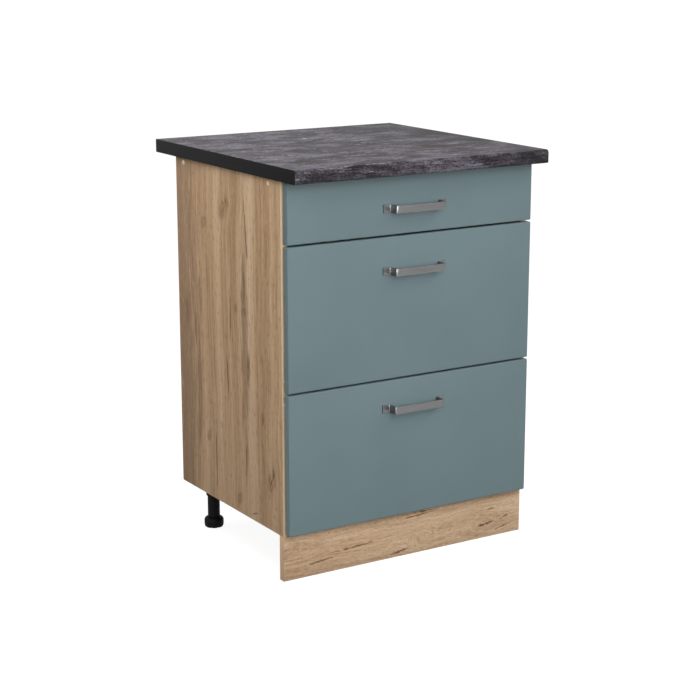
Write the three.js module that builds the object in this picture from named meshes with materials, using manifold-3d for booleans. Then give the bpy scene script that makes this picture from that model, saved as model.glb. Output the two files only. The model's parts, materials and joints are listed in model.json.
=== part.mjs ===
// Kitchen base cabinet, 600 mm wide, with one shallow and two deep drawers under a loose worktop.
// The drawers have rolled steel sides that run on nylon rollers: a roller on the front of each
// cabinet runner carries the drawer, and a roller on the rear of each drawer side runs in the runner.
// Millimetres, +Z up. X runs across the cabinet and the front faces -Y. The origin is on the floor,
// under the middle of the worktop.
import * as THREE from "three";
import { mergeVertices } from "three/addons/utils/BufferGeometryUtils.js";
import Module from "manifold-3d";

const wasm = await Module();
wasm.setup();

// ---- Driving dimensions -------------------------------------------------------------------------

const overall = { width: 600, height: 850, frontY: -236, depth: 450 };
const board = { thickness: 16, back: 3, backMargin: 2, edging: 1 };
const worktop = {
  depth: 600,
  thickness: 28,
  sideOverhang: 5,
  topRadius: 7,
  bottomRadius: 3,
  edging: 1,
};
const plinth = { height: 96, thickness: 16 };
const rail = { width: 90, holeRadius: 3, holeInset: 90 };
const coverCap = { radius: 4.5, depth: 2, frontInset: 48, rearInset: 37, belowTop: 10 };

const front = {
  thickness: 16,
  gapToCarcass: 4, // closed, with the buffers between
  sideReveal: 3,
  topReveal: 3,
  gapBetween: 4,
  shallowHeight: 121.5,
  deepHeight: 294.5,
  edgeRadius: 2.5,
};
const handle = {
  length: 152,
  barLength: 120,
  height: 16,
  thickness: 3,
  projection: 28,
  bend: 1.5,
  edgeRadius: 0.6,
  belowTop: { top: 67, middle: 69, bottom: 58 }, // its middle, under the front's top edge
};

const sheet = 1.25; // steel of the runners and drawer sides
const drawerBox = {
  wallX: 271, // outer face of the steel side
  length: 400,
  ledge: 12,
  tabWidth: 20,
  tabFromLedge: 20,
  tabBelowTop: 14,
  bend: 1.5, // inside radius of the folds
  fit: 1.5, // clearance of a board from each steel side, past the inside of its fold
  boardThickness: 16,
  shallowSide: 86,
  deepSide: 118,
  deepBack: 180,
  shallowRise: 14.5, // underside of the steel sides, over the front's lower edge
  deepRise: 26.5,
  hemWidth: 8,
  hemDrop: 9,
  flangeWidth: 9,
  flangeZ: 12,
  flangeSetback: 2,
  rollerStandOff: 2,
};
const roller = {
  radius: 10,
  width: 8,
  bore: 3.3,
  pin: 3,
  pinCollar: 5,
  pinHead: 4.5,
  pinHeadThickness: 0.6,
  edge: 1,
  endPlay: 0.3,
  underPlay: 0.2,
};
const runner = {
  length: 400,
  setback: 2,
  rollerInset: 12,
  rollerStandOff: 1.5,
  flangeWidth: 11.5,
  bend: 0.5,
  trackDrop: 14, // top of the lower flange, which the rear roller runs on, under the drawer's flange
  overRoller: 0.6,
  trackPlay: 0.2,
  frontCut: 26,
  screwHole: 2.25,
  screwPlaces: [37, 165, 261, 389], // from the runner's front end
};
const galleryRail = {
  radius: 5,
  cupRadius: 9,
  cupRim: 3,
  cupNeck: 6,
  cupLength: 14,
  aboveSide: 45,
  inset: 9,
};

const leg = {
  inset: 40,
  fromRear: 68,
  flangeRadius: 29,
  flange: 5,
  collarRadius: 18,
  collarTaper: 2,
  collarHeight: 24,
  tubeRadius: 13.5,
  wall: 2.5,
  tubeEnd: 2, // material between the bore and the flange
  rib: 2.5,
  ribMargin: 1.5, // from the flange's rim to a rib's outer end
  ribToe: 2,
  stemPlay: 0.5,
  stemTop: 60,
};
const foot = {
  radius: 21.5,
  height: 22,
  shoulder: 7,
  rim: 6,
  edge: 1.5,
  notches: 8,
  notchRadius: 2.6,
  notchCentre: 22.1,
  notchTop: 14,
  play: 1,
};
const plinthBracket = { width: 36, arm: 40, thickness: 2, bend: 2, gusset: 26, fromEnd: 120 };

// ---- Worked-out places --------------------------------------------------------------------------

const carcassTop = overall.height - worktop.thickness;
const carcassRear = overall.frontY + overall.depth;
const halfWidth = overall.width / 2;
const innerX = halfWidth - board.thickness;
const frontBack = overall.frontY - front.gapToCarcass;
const frontFace = frontBack - front.thickness;
const drawerRear = frontBack + drawerBox.length;
const wallInnerX = drawerBox.wallX - sheet;
const runnerFrontY = overall.frontY + runner.setback;
const trackZ = drawerBox.flangeZ - runner.trackDrop;
const trackHeight = 2 * roller.radius + runner.trackPlay + runner.overRoller;
const frontRollerZ = drawerBox.flangeZ - roller.underPlay - roller.radius;
const rearRollerZ = trackZ + runner.trackPlay + roller.radius;
const frontRollerY = runnerFrontY + runner.rollerInset;
const rearRollerY = drawerRear - roller.radius;

// ---- Materials ----------------------------------------------------------------------------------

function finish(color, roughness, metalness = 0) {
  return new THREE.MeshStandardMaterial({ color, roughness, metalness });
}
const oakDecor = finish("#a08668", 0.6);
const plinthOak = finish("#b99b7d", 0.6);
const slateLaminate = finish("#5c575c", 0.5);
const blackEdging = finish("#323232", 0.55);
const oakEdging = finish("#d2bd9c", 0.5);
const matteFront = finish("#70838a", 0.55);
const greyBoard = finish("#c9c9c6", 0.7);
const hardboard = finish("#957656", 0.8);
const coatedSteel = finish("#c4c6c8", 0.4, 0.6);
const zincSteel = finish("#b4b8bb", 0.35, 0.9);
const brushedMetal = finish("#87868a", 0.35, 0.9);
const nylon = finish("#e9e7e0", 0.5);
const blackPlastic = finish("#1e1e1e", 0.5);

// ---- Solids: joining and cutting ----------------------------------------------------------------

/** A closed geometry as a solid that can be joined and cut. */
function toSolid(geometry) {
  const bare = geometry.clone();
  bare.deleteAttribute("normal");
  bare.deleteAttribute("uv");
  const merged = mergeVertices(bare, 1e-4);
  return new wasm.Manifold(
    new wasm.Mesh({
      numProp: 3,
      vertProperties: merged.attributes.position.array,
      triVerts: new Uint32Array(merged.index.array),
    }),
  );
}

/** A solid back as a geometry. */
function toGeometry(solid) {
  const mesh = solid.getMesh();
  const geometry = new THREE.BufferGeometry();
  geometry.setAttribute("position", new THREE.BufferAttribute(mesh.vertProperties, 3));
  geometry.setIndex(new THREE.BufferAttribute(mesh.triVerts, 1));
  geometry.computeVertexNormals();
  return geometry;
}

function join(first, ...others) {
  return toGeometry(others.reduce((sum, each) => sum.add(toSolid(each)), toSolid(first)));
}

function cut(body, ...tools) {
  return toGeometry(tools.reduce((rest, each) => rest.subtract(toSolid(each)), toSolid(body)));
}

// ---- Outlines -----------------------------------------------------------------------------------

/** An outline from corners [x, y, radius], each rounded to its radius by a short arc. */
function roundedOutline(corners, steps = 4) {
  const points = [];
  corners.forEach(([x, y, radius = 0], i) => {
    const corner = new THREE.Vector2(x, y);
    if (!radius) {
      points.push(corner);
      return;
    }
    const [before, after] = [-1, 1].map((side) => {
      const [nx, ny] = corners[(i + side + corners.length) % corners.length];
      return new THREE.Vector2(nx, ny).sub(corner).normalize();
    });
    const half = Math.acos(THREE.MathUtils.clamp(before.dot(after), -1, 1)) / 2;
    const centre = before.clone().add(after).normalize();
    centre.multiplyScalar(radius / Math.sin(half)).add(corner);
    const start = before.clone().multiplyScalar(radius / Math.tan(half)).add(corner).sub(centre);
    const end = after.clone().multiplyScalar(radius / Math.tan(half)).add(corner).sub(centre);
    const turn = Math.atan2(start.cross(end), start.dot(end));
    for (let k = 0; k <= steps; k++)
      points.push(start.clone().rotateAround(new THREE.Vector2(), (turn * k) / steps).add(centre));
  });
  return points;
}

/** The corners of a sheet of even thickness, bent at each inner point of its middle line. */
function bentSheet(path, thickness, bend) {
  const line = path.map(([x, y]) => new THREE.Vector2(x, y));
  const left = [];
  const right = [];
  line.forEach((point, i) => {
    const inDirection = point.clone().sub(line[i - 1] ?? line[0]).normalize();
    const outDirection = (line[i + 1] ?? point).clone().sub(point).normalize();
    if (i === 0) inDirection.copy(outDirection);
    if (i === line.length - 1) outDirection.copy(inDirection);
    const turn = Math.atan2(inDirection.cross(outDirection), inDirection.dot(outDirection));
    const along = inDirection.clone().add(outDirection).normalize();
    const across = new THREE.Vector2(-along.y, along.x);
    across.multiplyScalar(thickness / 2 / Math.cos(turn / 2));
    const inner = turn === 0 ? 0 : bend;
    const outer = turn === 0 ? 0 : bend + thickness;
    const l = point.clone().add(across);
    const r = point.clone().sub(across);
    left.push([l.x, l.y, turn > 0 ? inner : outer]);
    right.push([r.x, r.y, turn > 0 ? outer : inner]);
  });
  return [...left, ...right.reverse()];
}

// ---- Forms --------------------------------------------------------------------------------------

/** A flat board between two corners. */
function slab([x0, x1], [y0, y1], [z0, z1]) {
  const geometry = new THREE.BoxGeometry(x1 - x0, y1 - y0, z1 - z0);
  return geometry.translate((x0 + x1) / 2, (y0 + y1) / 2, (z0 + z1) / 2);
}

/** An outline in Y and Z, drawn out along X. */
function alongX(points, x0, x1) {
  const geometry = new THREE.ExtrudeGeometry(new THREE.Shape(points), {
    depth: x1 - x0,
    bevelEnabled: false,
  });
  const turn = new THREE.Matrix4().makeBasis(
    new THREE.Vector3(0, 1, 0),
    new THREE.Vector3(0, 0, 1),
    new THREE.Vector3(1, 0, 0),
  );
  return geometry.applyMatrix4(turn).translate(x0, 0, 0);
}

/** An outline in X and Z, drawn out along Y, with its two ends eased by a small radius if given. */
function alongY(points, y0, y1, ease = 0, steps = 2) {
  const geometry = new THREE.ExtrudeGeometry(new THREE.Shape(points), {
    depth: y1 - y0 - 2 * ease,
    bevelEnabled: ease > 0,
    bevelSize: ease,
    bevelOffset: -ease,
    bevelThickness: ease,
    bevelSegments: steps,
  });
  return geometry.rotateX(Math.PI / 2).translate(0, y1 - ease, 0);
}

/** An outline in X and Y, drawn out along Z, with its two ends eased by a small radius if given. */
function alongZ(points, z0, z1, ease = 0) {
  const geometry = new THREE.ExtrudeGeometry(new THREE.Shape(points), {
    depth: z1 - z0 - 2 * ease,
    bevelEnabled: ease > 0,
    bevelSize: ease,
    bevelOffset: -ease,
    bevelThickness: ease,
    bevelSegments: 1,
  });
  return geometry.translate(0, 0, z0 + ease);
}

/** A profile of [radius, height] turned about Z. It starts and ends on the axis, or is a ring. */
function revolve(profile, segments = 24) {
  const points = profile.map(([radius, height]) => new THREE.Vector2(radius, height));
  if (points[0].x > 0) points.push(points[0].clone());
  if (THREE.ShapeUtils.area(points) < 0) points.reverse();
  return new THREE.LatheGeometry(points, segments).rotateX(Math.PI / 2);
}

/** A profile of [radius, x] turned about a line along X through the point y, z. */
function revolveAboutX(profile, y, z, segments = 16) {
  return revolve(profile, segments).rotateY(Math.PI / 2).translate(0, y, z);
}

/** A round bar along X from x0 to x1. */
function barX(radius, x0, x1, y, z, segments = 16) {
  return revolveAboutX([[0, x0], [radius, x0], [radius, x1], [0, x1]], y, z, segments);
}

// ---- Scene graph --------------------------------------------------------------------------------

const cabinet = new THREE.Group();

function place(parent, name, geometry, material) {
  const mesh = new THREE.Mesh(geometry, material);
  mesh.name = name;
  parent.add(mesh);
  return mesh;
}

/** A right-hand piece and its mirror image on the left. */
function placePair(parent, name, geometry, material) {
  place(parent, `${name}_right`, geometry, material);
  place(parent, `${name}_left`, geometry, material).scale.x = -1;
}

// ---- Worktop ------------------------------------------------------------------------------------

/** The worktop's section: a slab with a rolled front edge. */
function worktopSection() {
  const nearY = -worktop.depth / 2;
  const farY = worktop.depth / 2;
  return roundedOutline(
    [
      [nearY, carcassTop, worktop.bottomRadius],
      [farY, carcassTop],
      [farY, overall.height],
      [nearY, overall.height, worktop.topRadius],
    ],
    6,
  );
}

function buildWorktop() {
  const endX = halfWidth + worktop.sideOverhang;
  const slabX = endX - worktop.edging;
  place(cabinet, "worktop", alongX(worktopSection(), -slabX, slabX), slateLaminate);
  placePair(cabinet, "worktop_edging", alongX(worktopSection(), slabX, endX), blackEdging);
}

// ---- Carcass ------------------------------------------------------------------------------------

/** A side panel with two shallow seats for the cover caps over the top rails' screws. */
function sidePanel() {
  const panel = slab(
    [innerX, halfWidth],
    [overall.frontY + board.edging, carcassRear],
    [plinth.height, carcassTop],
  );
  const capZ = carcassTop - coverCap.belowTop;
  const seats = [overall.frontY + coverCap.frontInset, carcassRear - coverCap.rearInset].map((y) =>
    barX(coverCap.radius, halfWidth - coverCap.depth, halfWidth + 1, y, capZ),
  );
  return cut(panel, ...seats);
}

/** A top rail between the side panels, with two holes for the screws that hold the worktop. */
function topRail(nearY) {
  const body = slab(
    [-innerX, innerX],
    [nearY, nearY + rail.width],
    [carcassTop - board.thickness, carcassTop],
  );
  const holes = [-1, 1].map((side) => {
    const hole = new THREE.CylinderGeometry(
      rail.holeRadius, rail.holeRadius, 3 * board.thickness, 12);
    hole.rotateX(Math.PI / 2);
    return hole.translate(side * (innerX - rail.holeInset), nearY + rail.width / 2, carcassTop);
  });
  return cut(body, ...holes);
}

/** A bent steel angle with a gusset, which holds the plinth board to the bottom panel. */
function plinthAngle() {
  const { width, arm, thickness, bend, gusset, fromEnd } = plinthBracket;
  const plinthBack = overall.frontY + plinth.thickness;
  const half = thickness / 2;
  const path = [
    [plinthBack + half, plinth.height - arm],
    [plinthBack + half, plinth.height - half],
    [plinthBack + arm, plinth.height - half],
  ];
  const x = halfWidth - fromEnd;
  const angle = alongX(roundedOutline(bentSheet(path, thickness, bend)), x - width / 2, x + width / 2);
  const nearY = plinthBack + half;
  const topZ = plinth.height - half;
  const web = alongX(
    [[nearY, topZ - gusset], [nearY + gusset, topZ], [nearY, topZ]].map(
      ([y, z]) => new THREE.Vector2(y, z),
    ),
    x - half,
    x + half,
  );
  return join(angle, web);
}

function buildCarcass() {
  placePair(cabinet, "side_panel", sidePanel(), oakDecor);
  const edge = slab(
    [innerX, halfWidth],
    [overall.frontY, overall.frontY + board.edging],
    [plinth.height, carcassTop],
  );
  placePair(cabinet, "side_edging", edge, oakEdging);
  const bottom = slab(
    [-innerX, innerX],
    [overall.frontY, carcassRear],
    [plinth.height, plinth.height + board.thickness],
  );
  place(cabinet, "bottom_panel", bottom, oakDecor);
  place(cabinet, "top_rail_front", topRail(overall.frontY), greyBoard);
  place(cabinet, "top_rail_rear", topRail(carcassRear - rail.width), greyBoard);
  const back = slab(
    [-halfWidth + board.backMargin, halfWidth - board.backMargin],
    [carcassRear, carcassRear + board.back],
    [plinth.height + board.backMargin, carcassTop - board.backMargin],
  );
  place(cabinet, "back_panel", back, hardboard);
  const plinthBoard = slab(
    [-halfWidth, halfWidth],
    [overall.frontY, overall.frontY + plinth.thickness],
    [0, plinth.height],
  );
  place(cabinet, "plinth_board", plinthBoard, plinthOak);
  placePair(cabinet, "plinth_bracket", plinthAngle(), zincSteel);
}

// ---- Rear legs ----------------------------------------------------------------------------------

/** The leg under the bottom panel: a screwed flange, a ribbed collar and an open tube. */
function legSocket() {
  const top = plinth.height;
  const under = top - leg.flange;
  const neck = top - leg.collarHeight;
  const bore = leg.tubeRadius - leg.wall;
  const low = foot.height + foot.play;
  const body = revolve([
    [0, top],
    [leg.flangeRadius, top],
    [leg.flangeRadius, under],
    [leg.collarRadius, under],
    [leg.collarRadius - leg.collarTaper, neck],
    [leg.tubeRadius, neck],
    [leg.tubeRadius, low],
    [bore, low],
    [bore, under - leg.tubeEnd],
    [0, under - leg.tubeEnd],
  ]);
  const sunk = 1; // how far a rib reaches into what it stands on
  const ribEnd = leg.flangeRadius - leg.ribMargin;
  const rib = alongX(
    [
      [leg.tubeRadius + sunk, under + sunk],
      [ribEnd, under + sunk],
      [ribEnd, under - leg.ribToe],
      [leg.tubeRadius + sunk, neck + sunk],
    ].map(([y, z]) => new THREE.Vector2(y, z)),
    -leg.rib / 2,
    leg.rib / 2,
  );
  const ribs = [45, 135, 225, 315].map((angle) =>
    rib.clone().rotateZ(THREE.MathUtils.degToRad(angle)),
  );
  return join(body, ...ribs);
}

/** The screw foot: a round base with a soft shoulder and a notched rim, on a stem in the tube. */
function legFoot() {
  const stem = leg.tubeRadius - leg.wall - leg.stemPlay;
  const profile = roundedOutline(
    [
      [0, 0],
      [foot.radius - foot.edge, 0, foot.edge],
      [foot.radius, foot.rim],
      [foot.radius, foot.height, foot.shoulder],
      [stem, foot.height],
      [stem, leg.stemTop],
      [0, leg.stemTop],
    ],
    3,
  ).map((point) => [point.x, point.y]);
  const notches = Array.from({ length: foot.notches }, (_, i) => {
    const notch = new THREE.CylinderGeometry(
      foot.notchRadius, foot.notchRadius, 2 * foot.notchTop, 8);
    notch.rotateX(Math.PI / 2).translate(foot.notchCentre, 0, 0);
    return notch.rotateZ((2 * Math.PI * (i + 0.5)) / foot.notches);
  });
  return cut(revolve(profile), ...notches);
}

function buildLegs() {
  const socket = legSocket();
  const footPiece = legFoot();
  for (const [side, sign] of [["right", 1], ["left", -1]]) {
    const spot = new THREE.Group();
    spot.position.set(sign * (halfWidth - leg.inset), carcassRear - leg.fromRear, 0);
    cabinet.add(spot);
    place(spot, `leg_socket_${side}`, socket, blackPlastic);
    place(spot, `leg_foot_${side}`, footPiece, blackPlastic);
  }
}

// ---- Drawer gear --------------------------------------------------------------------------------

/** A nylon roller about X between x0 and x1, with eased rims. */
function rollerWheel(x0, x1, y, z) {
  const { radius, bore, edge } = roller;
  const profile = [
    [bore, x0],
    [radius - edge, x0],
    [radius, x0 + edge],
    [radius, x1 - edge],
    [radius - edge, x1],
    [bore, x1],
  ];
  return revolveAboutX(profile, y, z, 16);
}

/** A riveted pin about X: a collar from rootX to the roller's near end, and a head past its far end. */
function rollerPin(rootX, nearX, farX, y, z) {
  const { pin, pinCollar, pinHead, pinHeadThickness, endPlay } = roller;
  const outward = Math.sign(farX - nearX);
  const collarX = nearX - outward * endPlay;
  const headX = farX + outward * endPlay;
  const endX = headX + outward * pinHeadThickness;
  const profile = [
    [0, rootX],
    [pinCollar, rootX],
    [pinCollar, collarX],
    [pin, collarX],
    [pin, headX],
    [pinHead, headX],
    [pinHead, endX],
    [0, endX],
  ];
  return revolveAboutX(profile, y, z, 12);
}

/** The right-hand cabinet runner: a C-section, screwed on, its lower flange cut away at the roller. */
function cabinetRunner() {
  const half = sheet / 2;
  const nearX = innerX - runner.flangeWidth;
  const path = [
    [nearX, trackZ - half],
    [innerX - half, trackZ - half],
    [innerX - half, trackZ + trackHeight + half],
    [nearX, trackZ + trackHeight + half],
  ];
  const channel = alongY(
    roundedOutline(bentSheet(path, sheet, runner.bend), 3),
    runnerFrontY,
    runnerFrontY + runner.length,
  );
  const web = innerX - sheet;
  const room = slab(
    [nearX - 1, web - runner.bend],
    [runnerFrontY - 1, runnerFrontY + runner.frontCut],
    [trackZ - 2 * sheet, trackZ + 2 * sheet],
  );
  const screwZ = trackZ + trackHeight / 2;
  const holes = runner.screwPlaces.map((y) =>
    barX(runner.screwHole, web - 1, innerX + 1, runnerFrontY + y, screwZ, 8),
  );
  const outer = web - roller.endPlay - runner.rollerStandOff;
  const inner = outer - roller.width;
  const pin = rollerPin(web + half, outer, inner, frontRollerY, frontRollerZ);
  const wheel = rollerWheel(inner, outer, frontRollerY, frontRollerZ);
  return { channel: join(cut(channel, room, ...holes), pin), wheel };
}

/** The right-hand steel drawer side: a ledge for the bottom, a runner flange and a hemmed top. */
function drawerSide(height) {
  const { wallX, ledge, bend, flangeWidth, flangeZ, flangeSetback, hemWidth, hemDrop } = drawerBox;
  const half = sheet / 2;
  const path = [
    [wallInnerX - ledge, half],
    [wallX - half, half],
    [wallX - half, height - half],
    [wallX + hemWidth - half, height - half],
    [wallX + hemWidth - half, height - hemDrop],
  ];
  const rearEnd = drawerRear + sheet;
  const wall = alongY(roundedOutline(bentSheet(path, sheet, bend), 3), frontBack, rearEnd);
  const flange = slab(
    [wallX - half, wallX + flangeWidth],
    [frontBack + flangeSetback, rearRollerY - roller.radius - flangeSetback],
    [flangeZ, flangeZ + sheet],
  );
  const tabX = [wallInnerX - drawerBox.tabWidth, wallX - half];
  const tabZ = [drawerBox.tabFromLedge, height - drawerBox.tabBelowTop];
  const frontTab = slab(tabX, [frontBack, frontBack + sheet], tabZ);
  const rearTab = slab(tabX, [drawerRear, rearEnd], tabZ);
  const inner = wallX + drawerBox.rollerStandOff;
  const outer = inner + roller.width;
  const pin = rollerPin(wallX - half, inner, outer, rearRollerY, rearRollerZ);
  const wheel = rollerWheel(inner, outer, rearRollerY, rearRollerZ);
  return { side: join(wall, flange, frontTab, rearTab, pin), wheel };
}

// ---- Drawers ------------------------------------------------------------------------------------

/** A bow handle: one flat strip, lying on the front at both ends and stepped out to the bar. */
function bowHandle(centreZ) {
  const half = handle.thickness / 2;
  const tabY = frontFace - half;
  const barY = frontFace - handle.projection + half;
  const legX = handle.barLength / 2 - half;
  const path = [
    [-handle.length / 2, tabY],
    [-legX, tabY],
    [-legX, barY],
    [legX, barY],
    [legX, tabY],
    [handle.length / 2, tabY],
  ];
  const outline = roundedOutline(bentSheet(path, handle.thickness, handle.bend), 4);
  const [low, high] = [centreZ - handle.height / 2, centreZ + handle.height / 2];
  return alongZ(outline, low, high, handle.edgeRadius);
}

/** A round rail between the front and the back board, with a tapered cup at each end. */
function galleryBar(z) {
  const { radius, cupRadius, cupRim, cupNeck, cupLength, inset } = galleryRail;
  const near = frontBack;
  const far = drawerRear - drawerBox.boardThickness;
  const profile = [
    [0, near],
    [cupRadius, near],
    [cupRadius, near + cupRim],
    [cupNeck, near + cupLength],
    [radius, near + cupLength],
    [radius, far - cupLength],
    [cupNeck, far - cupLength],
    [cupRadius, far - cupRim],
    [cupRadius, far],
    [0, far],
  ];
  return revolve(profile, 12).rotateX(-Math.PI / 2).translate(wallInnerX - inset, 0, z);
}

/** A drawer in its own group, whose zero height is the underside of the steel sides. */
function buildDrawer({ name, frontLow, frontHeight, sideRise, sideHeight, backHeight }) {
  const drawer = new THREE.Group();
  drawer.position.z = frontLow + sideRise;
  cabinet.add(drawer);

  const frontX = halfWidth - front.sideReveal;
  const frontTop = frontHeight - sideRise;
  const face = [
    [-frontX, -sideRise],
    [frontX, -sideRise],
    [frontX, frontTop],
    [-frontX, frontTop],
  ].map(([x, z]) => new THREE.Vector2(x, z));
  const panel = alongY(face, frontFace, frontBack, front.edgeRadius, 3);
  place(drawer, `${name}_drawer_front`, panel, matteFront);
  place(drawer, `${name}_handle`, bowHandle(frontTop - handle.belowTop[name]), brushedMetal);

  const boardX = wallInnerX - drawerBox.fit;
  const floorTop = sheet + drawerBox.boardThickness;
  const floor = slab([-boardX, boardX], [frontBack, drawerRear], [sheet, floorTop]);
  place(drawer, `${name}_drawer_bottom`, floor, greyBoard);
  const back = slab(
    [-boardX, boardX],
    [drawerRear - drawerBox.boardThickness, drawerRear],
    [floorTop, backHeight],
  );
  place(drawer, `${name}_drawer_back`, back, greyBoard);

  const { side, wheel } = drawerSide(sideHeight);
  placePair(drawer, `${name}_drawer_side`, side, coatedSteel);
  placePair(drawer, `${name}_drawer_roller`, wheel, nylon);
  if (backHeight > sideHeight) {
    const bar = galleryBar(sideHeight + galleryRail.aboveSide);
    placePair(drawer, `${name}_gallery_rail`, bar, coatedSteel);
  }

  const gear = cabinetRunner();
  placePair(drawer, `${name}_runner`, gear.channel, zincSteel);
  placePair(drawer, `${name}_runner_roller`, gear.wheel, nylon);
}

function buildDrawers() {
  const { shallowHeight, deepHeight, gapBetween, topReveal } = front;
  const topLow = carcassTop - topReveal - shallowHeight;
  const middleLow = topLow - gapBetween - deepHeight;
  const bottomLow = middleLow - gapBetween - deepHeight;
  const shallow = {
    frontHeight: shallowHeight,
    sideRise: drawerBox.shallowRise,
    sideHeight: drawerBox.shallowSide,
    backHeight: drawerBox.shallowSide,
  };
  const deep = {
    frontHeight: deepHeight,
    sideRise: drawerBox.deepRise,
    sideHeight: drawerBox.deepSide,
    backHeight: drawerBox.deepBack,
  };
  buildDrawer({ ...shallow, name: "top", frontLow: topLow });
  buildDrawer({ ...deep, name: "middle", frontLow: middleLow });
  buildDrawer({ ...deep, name: "bottom", frontLow: bottomLow });
}

// ---- The cabinet --------------------------------------------------------------------------------

buildWorktop();
buildCarcass();
buildLegs();
buildDrawers();

export default cabinet;
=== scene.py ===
"""Looks of a kitchen base cabinet: one shallow drawer over two deep ones, under a dark worktop.

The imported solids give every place. Lengths are metres in the same frame: +Z up, and the front
faces -Y.
"""

from __future__ import annotations

import json
import logging
import math
from collections.abc import Iterable, Sequence
from dataclasses import dataclass, field, replace
from enum import Enum

import bmesh
import bpy
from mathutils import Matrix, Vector

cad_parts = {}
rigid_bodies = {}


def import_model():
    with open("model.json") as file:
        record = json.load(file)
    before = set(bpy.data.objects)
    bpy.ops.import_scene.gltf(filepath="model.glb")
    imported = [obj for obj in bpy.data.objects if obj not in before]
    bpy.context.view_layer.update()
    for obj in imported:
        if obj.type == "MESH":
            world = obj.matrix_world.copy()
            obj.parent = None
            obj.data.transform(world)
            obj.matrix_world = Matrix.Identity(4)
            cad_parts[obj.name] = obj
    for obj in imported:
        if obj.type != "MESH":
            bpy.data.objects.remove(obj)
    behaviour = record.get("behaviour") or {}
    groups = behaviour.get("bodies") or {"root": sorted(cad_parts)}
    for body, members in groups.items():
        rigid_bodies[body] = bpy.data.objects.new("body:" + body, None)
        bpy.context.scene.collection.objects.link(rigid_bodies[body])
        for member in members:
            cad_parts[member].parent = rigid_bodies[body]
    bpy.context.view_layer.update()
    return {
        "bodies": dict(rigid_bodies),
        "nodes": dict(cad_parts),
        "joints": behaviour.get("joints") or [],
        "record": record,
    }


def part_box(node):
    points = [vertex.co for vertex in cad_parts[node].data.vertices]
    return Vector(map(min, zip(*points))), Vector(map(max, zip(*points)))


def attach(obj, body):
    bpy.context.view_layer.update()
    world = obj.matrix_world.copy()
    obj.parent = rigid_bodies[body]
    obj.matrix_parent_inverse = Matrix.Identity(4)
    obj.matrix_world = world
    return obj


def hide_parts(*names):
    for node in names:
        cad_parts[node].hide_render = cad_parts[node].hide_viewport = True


LOG = logging.getLogger("cabinet")
MM = 0.001
DRAWER_NAMES = ("top", "middle", "bottom")

# The nodes that the finishes use most, and the colour sockets of a Mix node.
MATH, VECTOR, RANGE = "ShaderNodeMath", "ShaderNodeVectorMath", "ShaderNodeMapRange"
NOISE, RAMP, MIX = "ShaderNodeTexNoise", "ShaderNodeValToRGB", "ShaderNodeMix"
FACTOR, UNDER, OVER = 0, 6, 7

# Metres: longer than any board is thick, so that a mark in the print runs right through its board.
THROUGH_BOARD = 1.0e3
# Farther than any mark reaches, in the mark's own sizes.
FAR_AWAY = 10.0
# Metres below which two points are one, and square metres below which a face is empty.
SAME_PLACE, NO_AREA = 1e-6, 1e-12
# Radians below which a line runs straight on.
STRAIGHT = 1e-6
# The least cosine between a polygon and the face of the board that it belongs to.
SAME_FACING = 0.98

Tree, Node, Socket = bpy.types.NodeTree, bpy.types.Node, bpy.types.NodeSocket
Skin = bmesh.types.BMesh
Point = tuple[float, float]
Corner = tuple[float, float, float]
Size = tuple[float, float, float]
Stops = tuple[tuple[float, str], ...]
Ring = list[Vector]


class Axis(Enum):
    """An axis of the frame, by its place in a vector."""

    X = 0
    Y = 1
    Z = 2


class Side(Enum):
    """A hand of the cabinet, as the sign of its X."""

    LEFT = -1
    RIGHT = 1

    @property
    def word(self) -> str:
        """The name's ending for a piece on this hand."""
        return self.name.lower()


class Face(Enum):
    """A face of a board, by its outward direction."""

    FRONT = (0, -1, 0)
    REAR = (0, 1, 0)
    UNDER = (0, 0, -1)
    TOP = (0, 0, 1)
    LEFT_END = (-1, 0, 0)
    RIGHT_END = (1, 0, 0)


# ---- Nodes --------------------------------------------------------------------------------------


def linear(colour: str, shade: float = 1.0) -> tuple[float, float, float, float]:
    """Turns an sRGB hex colour to linear.

    Args:
        colour: "#rrggbb".
        shade: What the linear colour is multiplied by.

    Returns:
        Linear red, green and blue, and an alpha of 1.
    """
    parts = [int(colour[i : i + 2], 16) / 255 for i in (1, 3, 5)]
    red, green, blue = (c / 12.92 if c <= 0.04045 else ((c + 0.055) / 1.055) ** 2.4 for c in parts)
    return (min(1.0, red * shade), min(1.0, green * shade), min(1.0, blue * shade), 1.0)


def feed(tree: Tree, node: Node, inputs: dict) -> None:
    """Sets or links a node's inputs.

    Args:
        tree: The shader or geometry tree.
        node: The node.
        inputs: Input name or number to a value, or to the socket or node that it is linked from. A
            node gives its first live output.
    """
    for key, source in inputs.items():
        if isinstance(source, Node):
            source = next(output for output in source.outputs if output.enabled)
        if isinstance(source, Socket):
            tree.links.new(source, node.inputs[key])
        else:
            node.inputs[key].default_value = source


def add_node(
    tree: Tree,
    kind: str,
    inputs: dict | None = None,
    stops: Stops = (),
    **settings: object,
) -> Node:
    """Adds a node with its settings and links.

    Args:
        tree: The shader or geometry tree.
        kind: The node's class name.
        inputs: As for feed.
        stops: (place, hex colour) pairs, for a colour ramp.
        **settings: Properties of the node, set before its inputs.

    Returns:
        The node.
    """
    node = tree.nodes.new(kind)
    for name, value in settings.items():
        setattr(node, name, value)
    feed(tree, node, inputs or {})
    for i, (place, colour) in enumerate(stops):
        elements = node.color_ramp.elements
        element = elements[i] if i < len(elements) else elements.new(place)
        element.position, element.color = place, linear(colour)
    return node


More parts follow.
